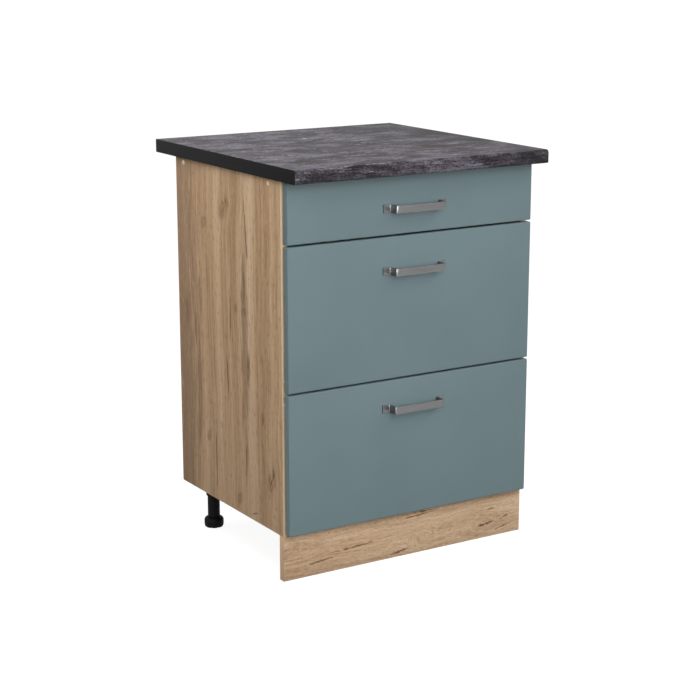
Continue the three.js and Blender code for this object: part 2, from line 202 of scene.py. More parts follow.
@dataclass(frozen=True)
class Mottle:
    """A soft mottle with grains of a real size.

    The size is in millimetres along each coordinate. Low and high are the noise that gives 0 and 1:
    noise centres on 0.5, so a low of 0.55 leaves a third of the surface. Detail is how many times
    the grains are broken up finer, and rough is how strong the finer grains are.
    """

    size: Size
    low: float = 0.28
    high: float = 0.72
    detail: float = 2.0
    rough: float = 0.55

    def on(self, tree: Tree, place: object) -> Node:
        """Lays the mottle over coordinates in metres, and gives 0 to 1."""
        given = {0: place, 1: [s * MM for s in self.size]}
        scaled = add_node(tree, VECTOR, given, operation="DIVIDE")
        given = {"Vector": scaled, "Scale": 1.0, "Detail": self.detail, "Roughness": self.rough}
        noise = add_node(tree, NOISE, given)
        cut = {"Value": noise, "From Min": self.low, "From Max": self.high}
        return add_node(tree, RANGE, cut, interpolation_type="SMOOTHSTEP")

    def sized(self, width: float, length: float) -> Mottle:
        """The same mottle on a grain's width and length, which its own size multiplies."""
        across, along, through = self.size
        return replace(self, size=(width * across, length * along, width * through))


def layered(tree: Tree, *layers: tuple[object, float]) -> Node:
    """The sum of several layers of a pattern, each times its weight."""
    total: object = 0.0
    for layer, weight in layers:
        total = add_node(tree, MATH, {0: layer, 1: weight, 2: total}, operation="MULTIPLY_ADD")
    return total


def printed(tree: Tree, under: object, ink: str, mask: object, strength: float) -> Node:
    """Prints an ink over a colour.

    Args:
        tree: The material's tree.
        under: The colour so far.
        ink: The ink's hex colour.
        mask: Where the ink goes, 0 to 1.
        strength: How much of the colour it hides where the mask is 1.

    Returns:
        The node of the new colour.
    """
    cover = add_node(tree, MATH, {0: mask, 1: strength}, operation="MULTIPLY")
    return add_node(tree, MIX, {FACTOR: cover, UNDER: under, OVER: linear(ink)}, data_type="RGBA")


# ---- Finishes -----------------------------------------------------------------------------------


@dataclass(frozen=True)
class Finish:
    """What every finish shares: a name, its gloss, and the way it becomes a material."""

    name: str
    roughness: float = 0.5
    specular: float = 0.5

    def material(self) -> bpy.types.Material:
        """Returns the Blender material, which is made the first time."""
        found = bpy.data.materials.get(self.name)
        if found:
            return found
        material = bpy.data.materials.new(self.name)
        material.use_nodes = True
        tree = material.node_tree
        shader = tree.nodes["Principled BSDF"]
        feed(tree, shader, {"Roughness": self.roughness, "Specular IOR Level": self.specular})
        self.dress(tree, shader, add_node(tree, "ShaderNodeTexCoord").outputs["Object"])
        return material

    def dress(self, tree: Tree, shader: Node, place: Socket) -> None:
        """Adds the finish's own nodes.

        Args:
            tree: The material's tree.
            shader: Its Principled BSDF.
            place: The object coordinates, in metres.
        """
        raise NotImplementedError

    @staticmethod
    def relief(tree: Tree, shader: Node, height: object, depth: float) -> None:
        """Raises the surface by a pattern of 0 to 1, whose full height is the depth in mm."""
        bump = add_node(tree, "ShaderNodeBump", {"Distance": depth * MM, "Height": height})
        feed(tree, shader, {"Normal": bump})

    @staticmethod
    def tint(tree: Tree, shader: Node, pattern: object, colour: str, shades: Point) -> None:
        """Colours the surface between two shades of one colour, by a pattern of 0 to 1."""
        under, over = (linear(colour, shade) for shade in shades)
        mixed = add_node(tree, MIX, {FACTOR: pattern, UNDER: under, OVER: over}, data_type="RGBA")
        feed(tree, shader, {"Base Color": mixed})


@dataclass(frozen=True)
class Mark:
    """A knot, crack or dark band in the printed oak, as an oval on the board. A band can also be
    partly painted shade.

    The middle and the half sizes are in millimetres across and along the grain, and the lean is in
    degrees.
    """

    across: float
    along: float
    width: float
    length: float
    lean: float = 0.0

    def seen_from(self, tree: Tree, board: object) -> tuple[Node, Node]:
        """Places in the mark's own sizes, and their distance from its middle: 1 at its rim."""
        given = {
            "Vector": board,
            "Location": (self.across * MM, self.along * MM, 0),
            "Rotation": (0, 0, math.radians(self.lean)),
            "Scale": (self.width * MM, self.length * MM, THROUGH_BOARD),
        }
        own = add_node(tree, "ShaderNodeMapping", given, vector_type="TEXTURE")
        return own, add_node(tree, VECTOR, {0: own}, operation="LENGTH")


def marks(*rows: tuple[float, ...]) -> tuple[Mark, ...]:
    """Marks from rows of their numbers."""
    return tuple(Mark(*row) for row in rows)


@dataclass(frozen=True)
class OakDecor(Finish):
    """Melamine-faced chipboard printed in knotty oak.

    The print gives soft streaks along the grain, short pores and dark cracks, and knots that the
    grain flows round. Its matt lacquer hardly shines.
    """

    roughness: float = 0.6
    specular: float = 0.08
    grain: Axis = Axis.Z
    across: Axis = Axis.Y
    tones: Stops = (
        (0.16, "#a18065"),
        (0.36, "#bf9c7a"),
        (0.52, "#d5b18a"),
        (0.66, "#e1bf9a"),
        (0.86, "#edd0ad"),
    )
    # Width and length in millimetres, and weight. The finest streaks are 4 mm wide, and 2 mm on the
    # plinth, where real ones are under 1 mm, so that they show in the render.
    streaks: tuple[Size, ...] = ((58, 3200, 0.46), (18, 1500, 0.18), (7, 420, 0.14), (4, 90, 0.22))
    streak: Mottle = Mottle((1, 1, 1), 0.26, 0.74, 3.0)
    # Pores, as wide and long as the dark ones. The light ones are a little slimmer and longer. Real
    # ones are about 0.3 by 5 mm, and these are drawn coarser for the same reason.
    pore: Point = (4.0, 20.0)
    dark_pore: Mottle = Mottle((1, 1, 1), 0.57, 0.68)
    light_pore: Mottle = Mottle((0.9, 1.2, 1), 0.58, 0.70)
    pore_share: float = 0.4
    dark: str = "#86624a"
    light: str = "#e3cbab"
    deep: str = "#68432d"
    # The ink of the dark bands. It is print, and in the left side's wide rear band it is partly
    # painted shade.
    band_ink: str = "#866a52"
    # How dark a knot is by its distance from the middle: a dark heart, a lighter ring, a darker one
    # and a soft rim.
    knot_rings: Stops = (
        (0.10, "#f4f4f4"),
        (0.34, "#b4b4b4"),
        (0.48, "#dadada"),
        (0.68, "#666666"),
        (1.00, "#000000"),
    )
    # What breaks a knot up. Then how its rings follow the distance from its middle, and how deep
    # the fine streaks reach into its rim.
    knot_breaks: Mottle = Mottle((4, 22, 4), 0.22, 0.60)
    knot_rim: Point = (0.45, 0.3)
    # How much of the colour below the dark inks hide.
    knot_share: float = 0.72
    crack_share: float = 0.75
    band_share: float = 0.55
    # How deep the fine streaks bite into the rims of bands and cracks.
    band_rag: float = 0.6
    crack_rag: float = 0.9
    # How far the grain is pushed aside by a knot, as a share of its width, and the distances at
    # which the push starts and is full.
    swirl: float = 0.45
    swirl_span: Point = (3.0, 0.2)
    # How far the grain wanders over the board, in millimetres, and over which lengths.
    wander: float = 14.0
    drift: Mottle = Mottle((280, 420, 280))
    # The relief's depth in millimetres, as in the other finishes.
    depth: float = 0.12
    knots: tuple[Mark, ...] = ()
    cracks: tuple[Mark, ...] = ()
    bands: tuple[Mark, ...] = ()

    def dress(self, tree: Tree, shader: Node, place: Socket) -> None:
        """Streaks, bands, pores, cracks and knots, printed in that order."""
        board = self.board(tree, place)
        flowing, knot = self.flow(tree, board)
        layers = [
            (self.streak.sized(width, length).on(tree, flowing), weight)
            for width, length, weight in self.streaks
        ]
        tone = layered(tree, *layers)
        fine = layers[-1][0]
        colour = add_node(tree, RAMP, {0: tone}, self.tones)
        band = self.inside(tree, board, self.bands, fine, self.band_rag)
        colour = printed(tree, colour, self.band_ink, band, self.band_share)
        dark_pores = self.dark_pore.sized(*self.pore).on(tree, flowing)
        light_pores = self.light_pore.sized(*self.pore).on(tree, board)
        colour = printed(tree, colour, self.light, light_pores, 0.8 * self.pore_share)
        colour = printed(tree, colour, self.dark, dark_pores, self.pore_share)
        crack = self.inside(tree, board, self.cracks, fine, self.crack_rag)
        colour = printed(tree, colour, self.deep, crack, self.crack_share)
        ragged = layered(tree, *zip((knot, fine), self.knot_rim))
        rings = add_node(tree, RAMP, {0: ragged}, self.knot_rings)
        broken = self.knot_breaks.on(tree, flowing)
        spots = add_node(tree, MATH, {0: rings, 1: broken}, operation="MULTIPLY")
        colour = printed(tree, colour, self.deep, spots, self.knot_share)
        feed(tree, shader, {"Base Color": colour})
        height = layered(tree, (fine, 0.5), (dark_pores, -0.5), (crack, -1.0))
        self.relief(tree, shader, height, self.depth)

    def board(self, tree: Tree, place: Socket) -> Node:
        """The board's own coordinates: across the grain, along it, and through the board."""
        parts = add_node(tree, "ShaderNodeSeparateXYZ", {0: place})
        through = next(axis for axis in Axis if axis not in (self.grain, self.across))
        order = (self.across, self.grain, through)
        given = {i: parts.outputs[axis.value] for i, axis in enumerate(order)}
        return add_node(tree, "ShaderNodeCombineXYZ", given)

    def flow(self, tree: Tree, board: Node) -> tuple[Node, object]:
        """The grain's flow: it wanders a little over the board and parts round the knots.

        Args:
            tree: The material's tree.
            board: The board's coordinates.

        Returns:
            The flowing coordinates, and the distance to the nearest knot in that knot's own sizes.
        """
        given = {0: self.drift.on(tree, board), 1: (self.wander * MM, 0, 0), 2: board}
        flowing = add_node(tree, VECTOR, given, operation="MULTIPLY_ADD")
        nearest: object = FAR_AWAY
        for knot in self.knots:
            own, reach = knot.seen_from(tree, board)
            start, full = self.swirl_span
            near = add_node(tree, RANGE, {"Value": reach, "From Min": start, "From Max": full})
            push = (-self.swirl * knot.width * MM, 0, 0)
            squeeze = add_node(tree, VECTOR, {0: push, "Scale": near}, operation="SCALE")
            given = {0: own, 1: squeeze, 2: flowing}
            flowing = add_node(tree, VECTOR, given, operation="MULTIPLY_ADD")
            nearest = add_node(tree, MATH, {0: nearest, 1: reach}, operation="MINIMUM")
        return flowing, nearest

    @staticmethod
    def inside(tree: Tree, board: Node, ovals: Sequence[Mark], fine: Node, ragged: float) -> object:
        """A mask of some marks, whose rims are made ragged by the fine streaks."""
        nearest: object = FAR_AWAY
        for mark in ovals:
            reach = mark.seen_from(tree, board)[1]
            nearest = add_node(tree, MATH, {0: nearest, 1: reach}, operation="MINIMUM")
        rim = layered(tree, (nearest, 1.0), (fine, ragged))
        given = {"Value": rim, "From Min": 1.0 + 0.5 * ragged, "From Max": 0.4 + 0.5 * ragged}
        return add_node(tree, RANGE, given, interpolation_type="SMOOTHSTEP")


@dataclass(frozen=True)
class StoneLaminate(Finish):
    """High-pressure laminate printed as dark stone.

    It looks cloudy, with light brush strokes along its length and a dark grit. Its fine texture
    gives a broad sheen when it is seen at a low angle.
    """

    roughness: float = 0.55
    specular: float = 0.14
    clouds: Stops = (
        (0.15, "#141215"),
        (0.38, "#2a272b"),
        (0.55, "#454047"),
        (0.80, "#6b6670"),
    )
    cloud: Mottle = Mottle((110, 80, 60), 0.3, 0.7, 4.0, 0.6)
    wash: Mottle = Mottle((60, 30, 8), 0.3, 0.7, 2.0, 0.6)
    # Real grit is 1 to 2 mm across. It is drawn coarser, so that it shows in the render.
    grit: Mottle = Mottle((6, 6, 3), 0.3, 0.7, 2.0, 0.7)
    # The strokes, what breaks them up, and the patches that they lie in.
    stroke: Mottle = Mottle((60, 18, 3.5), 0.53, 0.66, 5.0, 0.75)
    stroke_breaks: Mottle = Mottle((9, 9, 3), 0.34, 0.6)
    patch: Mottle = Mottle((170, 110, 90), 0.34, 0.56)
    stroke_ink: str = "#b0a7b5"
    stroke_share: float = 0.76
    pit: Mottle = Mottle((26, 16, 4), 0.56, 0.68, 3.0, 0.7)
    pit_ink: str = "#151417"
    pit_share: float = 0.6
    depth: float = 0.08

    def dress(self, tree: Tree, shader: Node, place: Socket) -> None:
        """Clouds and grit in the tone, then broken strokes and dark pits printed over it.

        The print grows lighter, and has more strokes, towards the left end; this is partly print
        and partly painted sheen.
        """
        along = add_node(tree, "ShaderNodeSeparateXYZ", {0: place}).outputs["X"]
        cloud, wash, grit = (m.on(tree, place) for m in (self.cloud, self.wash, self.grit))
        # The along term lightens the whole print towards the left end: partly print, partly painted
        # sheen.
        tone = layered(tree, (cloud, 0.42), (wash, 0.28), (grit, 0.3), (along, -0.22))
        colour = add_node(tree, RAMP, {0: tone}, self.clouds)
        given = {0: self.stroke.on(tree, place), 1: self.stroke_breaks.on(tree, place)}
        strokes = add_node(tree, MATH, given, operation="MULTIPLY")
        # The strokes crowd towards the left end: partly print, partly painted sheen.
        patches = layered(tree, (self.patch.on(tree, place), 1.0), (along, -1.8))
        where = add_node(tree, MATH, {0: strokes, 1: patches}, operation="MULTIPLY", use_clamp=True)
        colour = printed(tree, colour, self.stroke_ink, where, self.stroke_share)
        colour = printed(tree, colour, self.pit_ink, self.pit.on(tree, place), self.pit_share)
        feed(tree, shader, {"Base Color": colour})
        self.relief(tree, shader, tone, self.depth)


@dataclass(frozen=True)
class Moulded(Finish):
    """One colour all over, a little uneven, with a fine grain from the mould, roller or spray."""

    colour: str = "#808080"
    # Real moulded grains are 0.1 to 0.3 mm across. No grain is drawn finer than 0.6 mm, so that it
    # shows in the render.
    grain: float = 0.6
    depth: float = 0.01
    uneven: float = 0.04
    drift: Mottle = Mottle((200, 200, 200))

    def dress(self, tree: Tree, shader: Node, place: Socket) -> None:
        """The grain is in the relief, and the tone drifts."""
        shades = (1 - self.uneven, 1 + self.uneven)
        self.tint(tree, shader, self.drift.on(tree, place), self.colour, shades)
        self.relief(tree, shader, Mottle((self.grain,) * 3).on(tree, place), self.depth)


@dataclass(frozen=True)
class Metal(Finish):
    """A metal, whose pattern varies both its tone and its gloss."""

    colour: str = "#808080"
    # What multiplies the tone, and what is added to the roughness, where the pattern is 0 and 1.
    shades: Point = (0.9, 1.1)
    gloss: Point = (-0.05, 0.05)

    def plate(self, tree: Tree, shader: Node, pattern: object) -> None:
        """Makes the surface metal, with its tone and its gloss from a pattern of 0 to 1."""
        self.tint(tree, shader, pattern, self.colour, self.shades)
        low, high = (self.roughness + step for step in self.gloss)
        given = {"Value": pattern, "To Min": low, "To Max": high}
        feed(tree, shader, {"Metallic": 1.0, "Roughness": add_node(tree, RANGE, given)})


@dataclass(frozen=True)
class BrushedMetal(Metal):
    """Zinc die-cast, nickel-plated and brushed lengthwise: scratches draw the highlight out."""

    colour: str = "#767677"
    roughness: float = 0.32
    shades: Point = (0.88, 1.12)
    gloss: Point = (-0.06, 0.06)
    along: Axis = Axis.X
    # Real brush lines are about 0.1 mm apart. They are drawn coarser, so that they show in the
    # render.
    scratch: Point = (0.7, 45.0)
    anisotropy: float = 0.3
    depth: float = 0.004

    def dress(self, tree: Tree, shader: Node, place: Socket) -> None:
        """The scratches are in the tone, the gloss and the relief."""
        width, length = self.scratch
        size = tuple(length if axis is self.along else width for axis in Axis)
        lines = Mottle(size, detail=3.0, rough=0.7).on(tree, place)
        self.plate(tree, shader, lines)
        feed(tree, shader, {"Anisotropic": self.anisotropy})
        self.relief(tree, shader, lines, self.depth)


@dataclass(frozen=True)
class ZincPlate(Metal):
    """Zinc-plated steel: a soft bluish mirror with cloudy patches from the bath."""

    colour: str = "#b9bdc1"
    roughness: float = 0.34
    shades: Point = (0.82, 1.1)
    gloss: Point = (-0.08, 0.1)
    patch: Mottle = Mottle((15, 15, 15), detail=4.0, rough=0.65)

    def dress(self, tree: Tree, shader: Node, place: Socket) -> None:
        """Patches of about 15 mm, in the tone and the gloss."""
        self.plate(tree, shader, self.patch.on(tree, place))


@dataclass(frozen=True)
class PressedBoard(Finish):
    """Raw pressed wood: chips or fibres of several shades, flat and unsealed."""

    roughness: float = 0.85
    specular: float = 0.2
    shades: Stops = (
        (0.20, "#83694b"),
        (0.42, "#a98d69"),
        (0.60, "#bea480"),
        (0.85, "#d2bd9b"),
    )
    # Real chips on a cut edge are about 1 mm thick, and fibres are far finer. Both are drawn
    # coarser, so that they show in the render.
    chip: Size = (4.0, 2.0, 2.0)
    blotch: float = 0.15
    blotches: Mottle = Mottle((40, 40, 40))
    depth: float = 0.15

    def dress(self, tree: Tree, shader: Node, place: Socket) -> None:
        """Each chip has its own shade, and a shallow dip in its middle."""
        size = [side * MM for side in self.chip]
        scaled = add_node(tree, VECTOR, {0: place, 1: size}, operation="DIVIDE")
        chips = add_node(tree, "ShaderNodeTexVoronoi", {"Vector": scaled, "Scale": 1.0})
        shade = add_node(tree, "ShaderNodeSeparateColor", {0: chips.outputs["Color"]})
        blotches = self.blotches.on(tree, place)
        tone = layered(tree, (shade, 1 - self.blotch), (blotches, self.blotch))
        feed(tree, shader, {"Base Color": add_node(tree, RAMP, {0: tone}, self.shades)})
        self.relief(tree, shader, chips.outputs["Distance"], self.depth)


# The left side panel's largest marks are where the photograph has them. The grain stands upright,
# so the second number of each mark is its height in millimetres.
LEFT_SIDE_OAK = OakDecor(
    "knotty_oak_melamine_left_side",
    knots=marks(
        (2, 737, 13, 26, 38), (91, 697, 10, 12, 20), (-45, 537, 5, 8), (-78, 580, 8, 34, 3),
        (-82, 536, 7, 8), (175, 490, 8, 32), (114, 540, 7, 40), (81, 233, 9, 13, 20),
        (-190, 200, 13, 26, 27), (-54, 129, 9, 14, 35), (-157, 325, 6, 10), (-97, 419, 6, 22),
    ),
    cracks=marks(
        (-90, 722, 2.8, 80, -6), (50, 190, 3.2, 78), (-8, 380, 3.0, 92, -4),
        (-84, 215, 2.4, 62), (-22, 520, 2.6, 65), (135, 450, 2.4, 50), (-118, 112, 2.2, 15, 70),
        (-3, 741, 3.4, 15, 24), (-193, 206, 3.2, 17, 27),
    ),
    # The first band, wide and full height at the rear, is partly print and partly painted shade: it
    # darkens the panel towards its rear.
    bands=marks((184, 420, 56, 4000), (122, 330, 15, 170), (-84, 470, 20, 300)),
)
RIGHT_SIDE_OAK = OakDecor(
    "knotty_oak_melamine_right_side",
    knots=marks(
        (-60, 640, 12, 28, -25), (120, 700, 8, 16), (30, 410, 10, 34, 12),
        (-150, 300, 9, 20, -15), (150, 220, 12, 24, 25), (-20, 160, 7, 12),
    ),
    cracks=marks((70, 560, 3.0, 90, 3), (-110, 480, 2.6, 70), (10, 250, 2.8, 60, -4)),
    bands=marks((-196, 400, 26, 4000), (60, 300, 22, 300)),
)
PLINTH_OAK = OakDecor(
    "knotty_oak_melamine_plinth",
    grain=Axis.X,
    across=Axis.Z,
    tones=(
        (0.20, "#b69576"),
        (0.40, "#cba989"),
        (0.55, "#d8b896"),
        (0.70, "#e2c5a4"),
        (0.90, "#ebd4b6"),
    ),
    streaks=((24, 700, 0.28), (7, 170, 0.24), (3, 40, 0.24), (2, 12, 0.24)),
    pore=(1.8, 9.0),
    pore_share=0.4,
    swirl=0.8,
    # Its knots hardly show as dark spots: the grain swirls round them, and the cracks are dark.
    knot_share=0.12,
    knots=marks(
        (28, 30, 14, 34, -10), (34, 212, 22, 52, -8), (88, -20, 10, 28), (66, -282, 14, 30),
    ),
    cracks=marks(
        (43, -130, 2.5, 58, -3), (28, -215, 2.5, 40, -4), (11, -16, 3.4, 27, -10),
        (83, 26, 2.3, 36, -3), (31, 209, 3.6, 26, -8), (63, 219, 2.2, 18, -4),
        (90, 44, 2.2, 26), (40, 262, 2.2, 20, -20), (18, 255, 2.0, 22, -14),
    ),
)
FLOOR_OAK = OakDecor("knotty_oak_melamine_bottom_panel", grain=Axis.X, across=Axis.Y)
STONE = StoneLaminate("stone_print_laminate")

# ABS edge band in a light oak tone: a plain, slightly lighter line along a board's edge.
EDGE_OAK = Moulded("oak_coloured_abs_edge_band", 0.5, 0.3, colour="#e9cfab", uneven=0.08)
# The same band in the plinth's browner tone.
PLINTH_EDGE = Moulded("plinth_coloured_abs_edge_band", 0.55, 0.15, colour="#e6c09a", uneven=0.08)
# ABS end band: nearly black and dead flat, so it hardly catches the light.
BLACK_BAND = Moulded("black_abs_end_band", 0.7, 0.05, colour="#262626", uneven=0.05)
# PVC foil wrapped over fibreboard: an even matt colour with a soft sheen on its rounded edges.
FRONT_FOIL = Moulded("matt_grey_teal_foil", 0.45, 0.08, colour="#778a8e", uneven=0.03)
# Melamine paper with a pearl texture, as on drawer boards and the backs of fronts.
GREY_MELAMINE = Moulded("light_grey_melamine", 0.5, 0.35, colour="#cbcbc8", uneven=0.02, grain=1.2)
# Epoxy powder coat on steel: a fine orange peel under a satin gloss.
POWDER_COAT = Moulded(
    "light_grey_powder_coat", 0.4, colour="#c6c8c9", uneven=0.02, grain=1.0, depth=0.02
)
# Injection-moulded nylon: milky, with a waxy gloss.
NYLON = Moulded("natural_nylon", 0.42, colour="#e6e3da", uneven=0.03)
# Injection-moulded polypropylene: black with a fine spark-eroded grain that takes the gloss away.
BLACK_PLASTIC = Moulded(
    "moulded_black_polypropylene", 0.6, 0.07, colour="#151516", uneven=0.1, grain=0.8
)
# Polyethylene cover caps: a warm pale tone, slightly waxy.
CAP_PLASTIC = Moulded("oak_coloured_cover_cap", 0.45, colour="#ffe3c0", uneven=0.05)
# Polyurethane bump pads: pale and glossy.
CLEAR_PAD = Moulded("pale_polyurethane_buffer", 0.25, colour="#c9ccc8", uneven=0.02)
# Kraft paper on the worktop's underside: dull brown.
BACKING_PAPER = Moulded("kraft_backing_paper", 0.7, 0.2, colour="#6d5a48", uneven=0.1, grain=2.0)
HANDLE_METAL = BrushedMetal("brushed_zinc_die_cast")
ZINC = ZincPlate("zinc_plated_steel")
CHIPBOARD = PressedBoard("raw_chipboard")
HARDBOARD = PressedBoard(
    "raw_hardboard",
    0.7,
    shades=((0.25, "#856a4e"), (0.45, "#8e7256"), (0.60, "#967a5c"), (0.80, "#9f8465")),
    chip=(1.4, 1.4, 1.4),
    blotch=0.12,
)


# ---- Mesh helpers -------------------------------------------------------------------------------


def rounded(corners: Iterable[Sequence[float]], steps: int = 6) -> list[Point]:
    """Rounds the corners of a closed outline.

    Args:
        corners: (x, y) or (x, y, radius) for each corner.
        steps: Segments in each rounded corner.

    Returns:
        The outline's points.
    """
    given = [(*c, 0.0)[:3] for c in corners]
    points: list[Point] = []
    for i, (x, y, radius) in enumerate(given):
        if radius <= 0:
            points.append((x, y))
            continue
        corner = Vector((x, y))
        before = (Vector(given[i - 1][:2]) - corner).normalized()
        after = (Vector(given[(i + 1) % len(given)][:2]) - corner).normalized()
        half = before.angle(after) / 2
        centre = corner + (before + after).normalized() * (radius / math.sin(half))
        start = corner + before * (radius / math.tan(half)) - centre
        end = corner + after * (radius / math.tan(half)) - centre
        turn = math.atan2(start.x * end.y - start.y * end.x, start.dot(end))
        for k in range(steps + 1):
            cos, sin = math.cos(turn * k / steps), math.sin(turn * k / steps)
            spoke = Vector((start.x * cos - start.y * sin, start.x * sin + start.y * cos))
            points.append(tuple(centre + spoke))
    return points


def bent_sheet(path: Sequence[Point], thickness: float, bend: float) -> list[Corner]:
    """The corners of a sheet of even thickness that follows a line and is bent at its inner points.

    Args:
        path: The middle line.
        thickness: The sheet's thickness.
        bend: The inside radius of each bend.

    Returns:
        Corners with radii, for rounded().
    """
    line = [Vector(p) for p in path]
    left: list[Corner] = []
    right: list[Corner] = []
    for i, point in enumerate(line):
        towards = (line[i + 1] - point).normalized() if i + 1 < len(line) else None
        since = (point - line[i - 1]).normalized() if i else None
        since = since or towards
        towards = towards or since
        turn = math.atan2(since.x * towards.y - since.y * towards.x, since.dot(towards))
        along = (since + towards).normalized()
        across = Vector((-along.y, along.x)) * (thickness / 2 / math.cos(turn / 2))
        inner, outer = (bend, bend + thickness) if abs(turn) > STRAIGHT else (0.0, 0.0)
        left.append((*(point + across), inner if turn > 0 else outer))
        right.append((*(point - across), outer if turn > 0 else inner))
    return left + right[::-1]


def skin(rings: Sequence[Ring], loop: bool = False) -> Skin:
    """Joins closed rings of equal length into a skin, capped at its two ends.

    Args:
        rings: The rings, in order.
        loop: Joins the last ring to the first in place of the caps.

    Returns:
        A bmesh whose faces point outwards, with no empty face.
    """
    bm = bmesh.new()
    rows = [[bm.verts.new(p) for p in ring] for ring in rings]
    count = len(rows[0])
    pairs = list(zip(rows, rows[1:])) + ([(rows[-1], rows[0])] if loop else [])
    for low, high in pairs:
        for i in range(count):
            j = (i + 1) % count
            bm.faces.new((low[i], low[j], high[j], high[i]))
    if not loop:
        bm.faces.new(rows[0][::-1])
        bm.faces.new(rows[-1])
    bmesh.ops.remove_doubles(bm, verts=bm.verts, dist=SAME_PLACE)
    empty = [f for f in bm.faces if f.calc_area() < NO_AREA]
    bmesh.ops.delete(bm, geom=empty, context="FACES")
    bmesh.ops.recalc_face_normals(bm, faces=bm.faces)
    return bm


def prism(points: Sequence[Point], axis: Axis, start: float, end: float, ease: float = 0.0) -> Skin:
    """Draws an outline out along an axis.

    Args:
        points: The outline, in the other two axes in their order.
        axis: The direction.
        start: Where it starts on that axis.
        end: Where it ends.
        ease: A small rounding of the rims of the two ends.

    Returns:
        The solid's skin.
    """
    k = axis.value
    bm = skin([[Vector((*p[:k], at, *p[k:])) for p in points] for at in (start, end)])
    if ease > 0:
        rim = [e for e in bm.edges if abs(e.verts[0].co[k] - e.verts[1].co[k]) < SAME_PLACE]
        bmesh.ops.bevel(bm, geom=rim, offset=ease, segments=2, affect="EDGES", profile=0.5)
    return bm


def turned(profile: Sequence[Point], centre: Vector, axis: Axis, segments: int = 48) -> Skin:
    """Turns a profile about a line along an axis.

    Args:
        profile: (radius, place along the axis) points. It starts and ends on the axis, or is a
            closed ring.
        centre: A point on the line. Its value along the axis is added to the profile's.
        axis: The line's direction.
        segments: Segments in a full turn.

    Returns:
        The solid's skin.
    """
    first, second = [a.value for a in Axis if a is not axis]
    rings = []
    for k in range(segments):
        angle = math.tau * k / segments
        ring = []
        for radius, height in profile:
            point = Vector(centre)
            point[axis.value] += height
            point[first] += radius * math.cos(angle)
            point[second] += radius * math.sin(angle)
            ring.append(point)
        rings.append(ring)
    return skin(rings, loop=True)


def block(low: Sequence[float], high: Sequence[float], ease: float, steps: int = 2) -> Skin:
    """A board with all its edges eased by a small radius."""
    outline = [(low[0], low[1]), (high[0], low[1]), (high[0], high[1]), (low[0], high[1])]
    bm = skin([[Vector((x, y, z)) for x, y in outline] for z in (low[2], high[2])])
    edges = list(bm.edges)
    bmesh.ops.bevel(bm, geom=edges, offset=ease, segments=steps, affect="EDGES", profile=0.5)
    return bm


def joined(*parts: Skin) -> Skin:
    """Puts several skins into the first one."""
    whole, *others = parts
    for other in others:
        mesh = bpy.data.meshes.new("part")
        other.to_mesh(mesh)
        other.free()
        whole.from_mesh(mesh)
        bpy.data.meshes.remove(mesh)
    return whole


def link(name: str, data: bpy.types.ID) -> bpy.types.Object:
    """Links a mesh, camera or lamp to the scene as an object at the origin."""
    made = bpy.data.objects.new(name, data)
    bpy.context.scene.collection.objects.link(made)
    return made


def smooth(mesh: bpy.types.Mesh, angle: float = 32.0) -> bpy.types.Mesh:
    """Shades a mesh smooth up to an angle in degrees."""
    mesh.polygons.foreach_set("use_smooth", [True] * len(mesh.polygons))
    mesh.set_sharp_from_angle(angle=math.radians(angle))
    return mesh


def piece_of(
    name: str, bm: Skin, finish: Finish, others: dict[Face, Finish] | None = None
) -> bpy.types.Object:
    """Makes a piece from a skin.

    Args:
        name: The piece's name.
        bm: The skin, which is freed.
        finish: Its finish.
        others: The faces that have a finish of their own, such as a raw edge.

    Returns:
        The object.
    """
    mesh = bpy.data.meshes.new(name)
    bm.to_mesh(mesh)
    bm.free()
    mesh.materials.append(finish.material())
    for number, (face, other) in enumerate((others or {}).items(), 1):
        mesh.materials.append(other.material())
        for polygon in mesh.polygons:
            if polygon.normal.dot(Vector(face.value)) > SAME_FACING:
                polygon.material_index = number
    return link(name, smooth(mesh))


def settle(piece: bpy.types.Object, body: str, slot: str, *nodes: str) -> None:
    """Sets a finished piece on its body, hides the nodes that it stands for, and reports it."""
    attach(piece, body)
    if nodes:
        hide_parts(*nodes)
    LOG.info("%s on %s: %d faces", piece.name, body, len(piece.data.polygons))


def place_board(
    node: str,
    name: str,
    body: str,
    slot: str,
    finish: Finish,
    ease: float,
    others: dict[Face, Finish] | None = None,
    steps: int = 2,
) -> None:
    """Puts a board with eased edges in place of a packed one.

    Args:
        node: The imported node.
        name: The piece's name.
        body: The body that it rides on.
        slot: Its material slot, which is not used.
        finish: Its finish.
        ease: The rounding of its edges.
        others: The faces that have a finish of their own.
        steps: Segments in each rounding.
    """
    piece = piece_of(name, block(*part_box(node), ease, steps), finish, others)
    settle(piece, body, slot, node)


def dress_node(frame: dict, node: str, finish: Finish) -> None:
    """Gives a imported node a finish."""
    mesh = frame["nodes"][node].data
    mesh.materials.clear()
    mesh.materials.append(finish.material())
    LOG.info("%s is %s", node, finish.name)


def centre_of(node: str, line: Axis | None = None) -> Vector:
    """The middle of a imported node's box.

    Args:
        node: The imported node.
        line: The axis along which 0 is given, for a profile with its own places along it.

    Returns:
        The point.
    """
    middle = Vector([(low + high) / 2 for low, high in zip(*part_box(node))])
    if line is not None:
        middle[line.value] = 0
    return middle


def inset(start: float, end: float, by: float) -> Point:
    """The two places that lie inside the ends of a span by a distance."""
    return (start + by, end - by)


# ---- Geometry Nodes -----------------------------------------------------------------------------


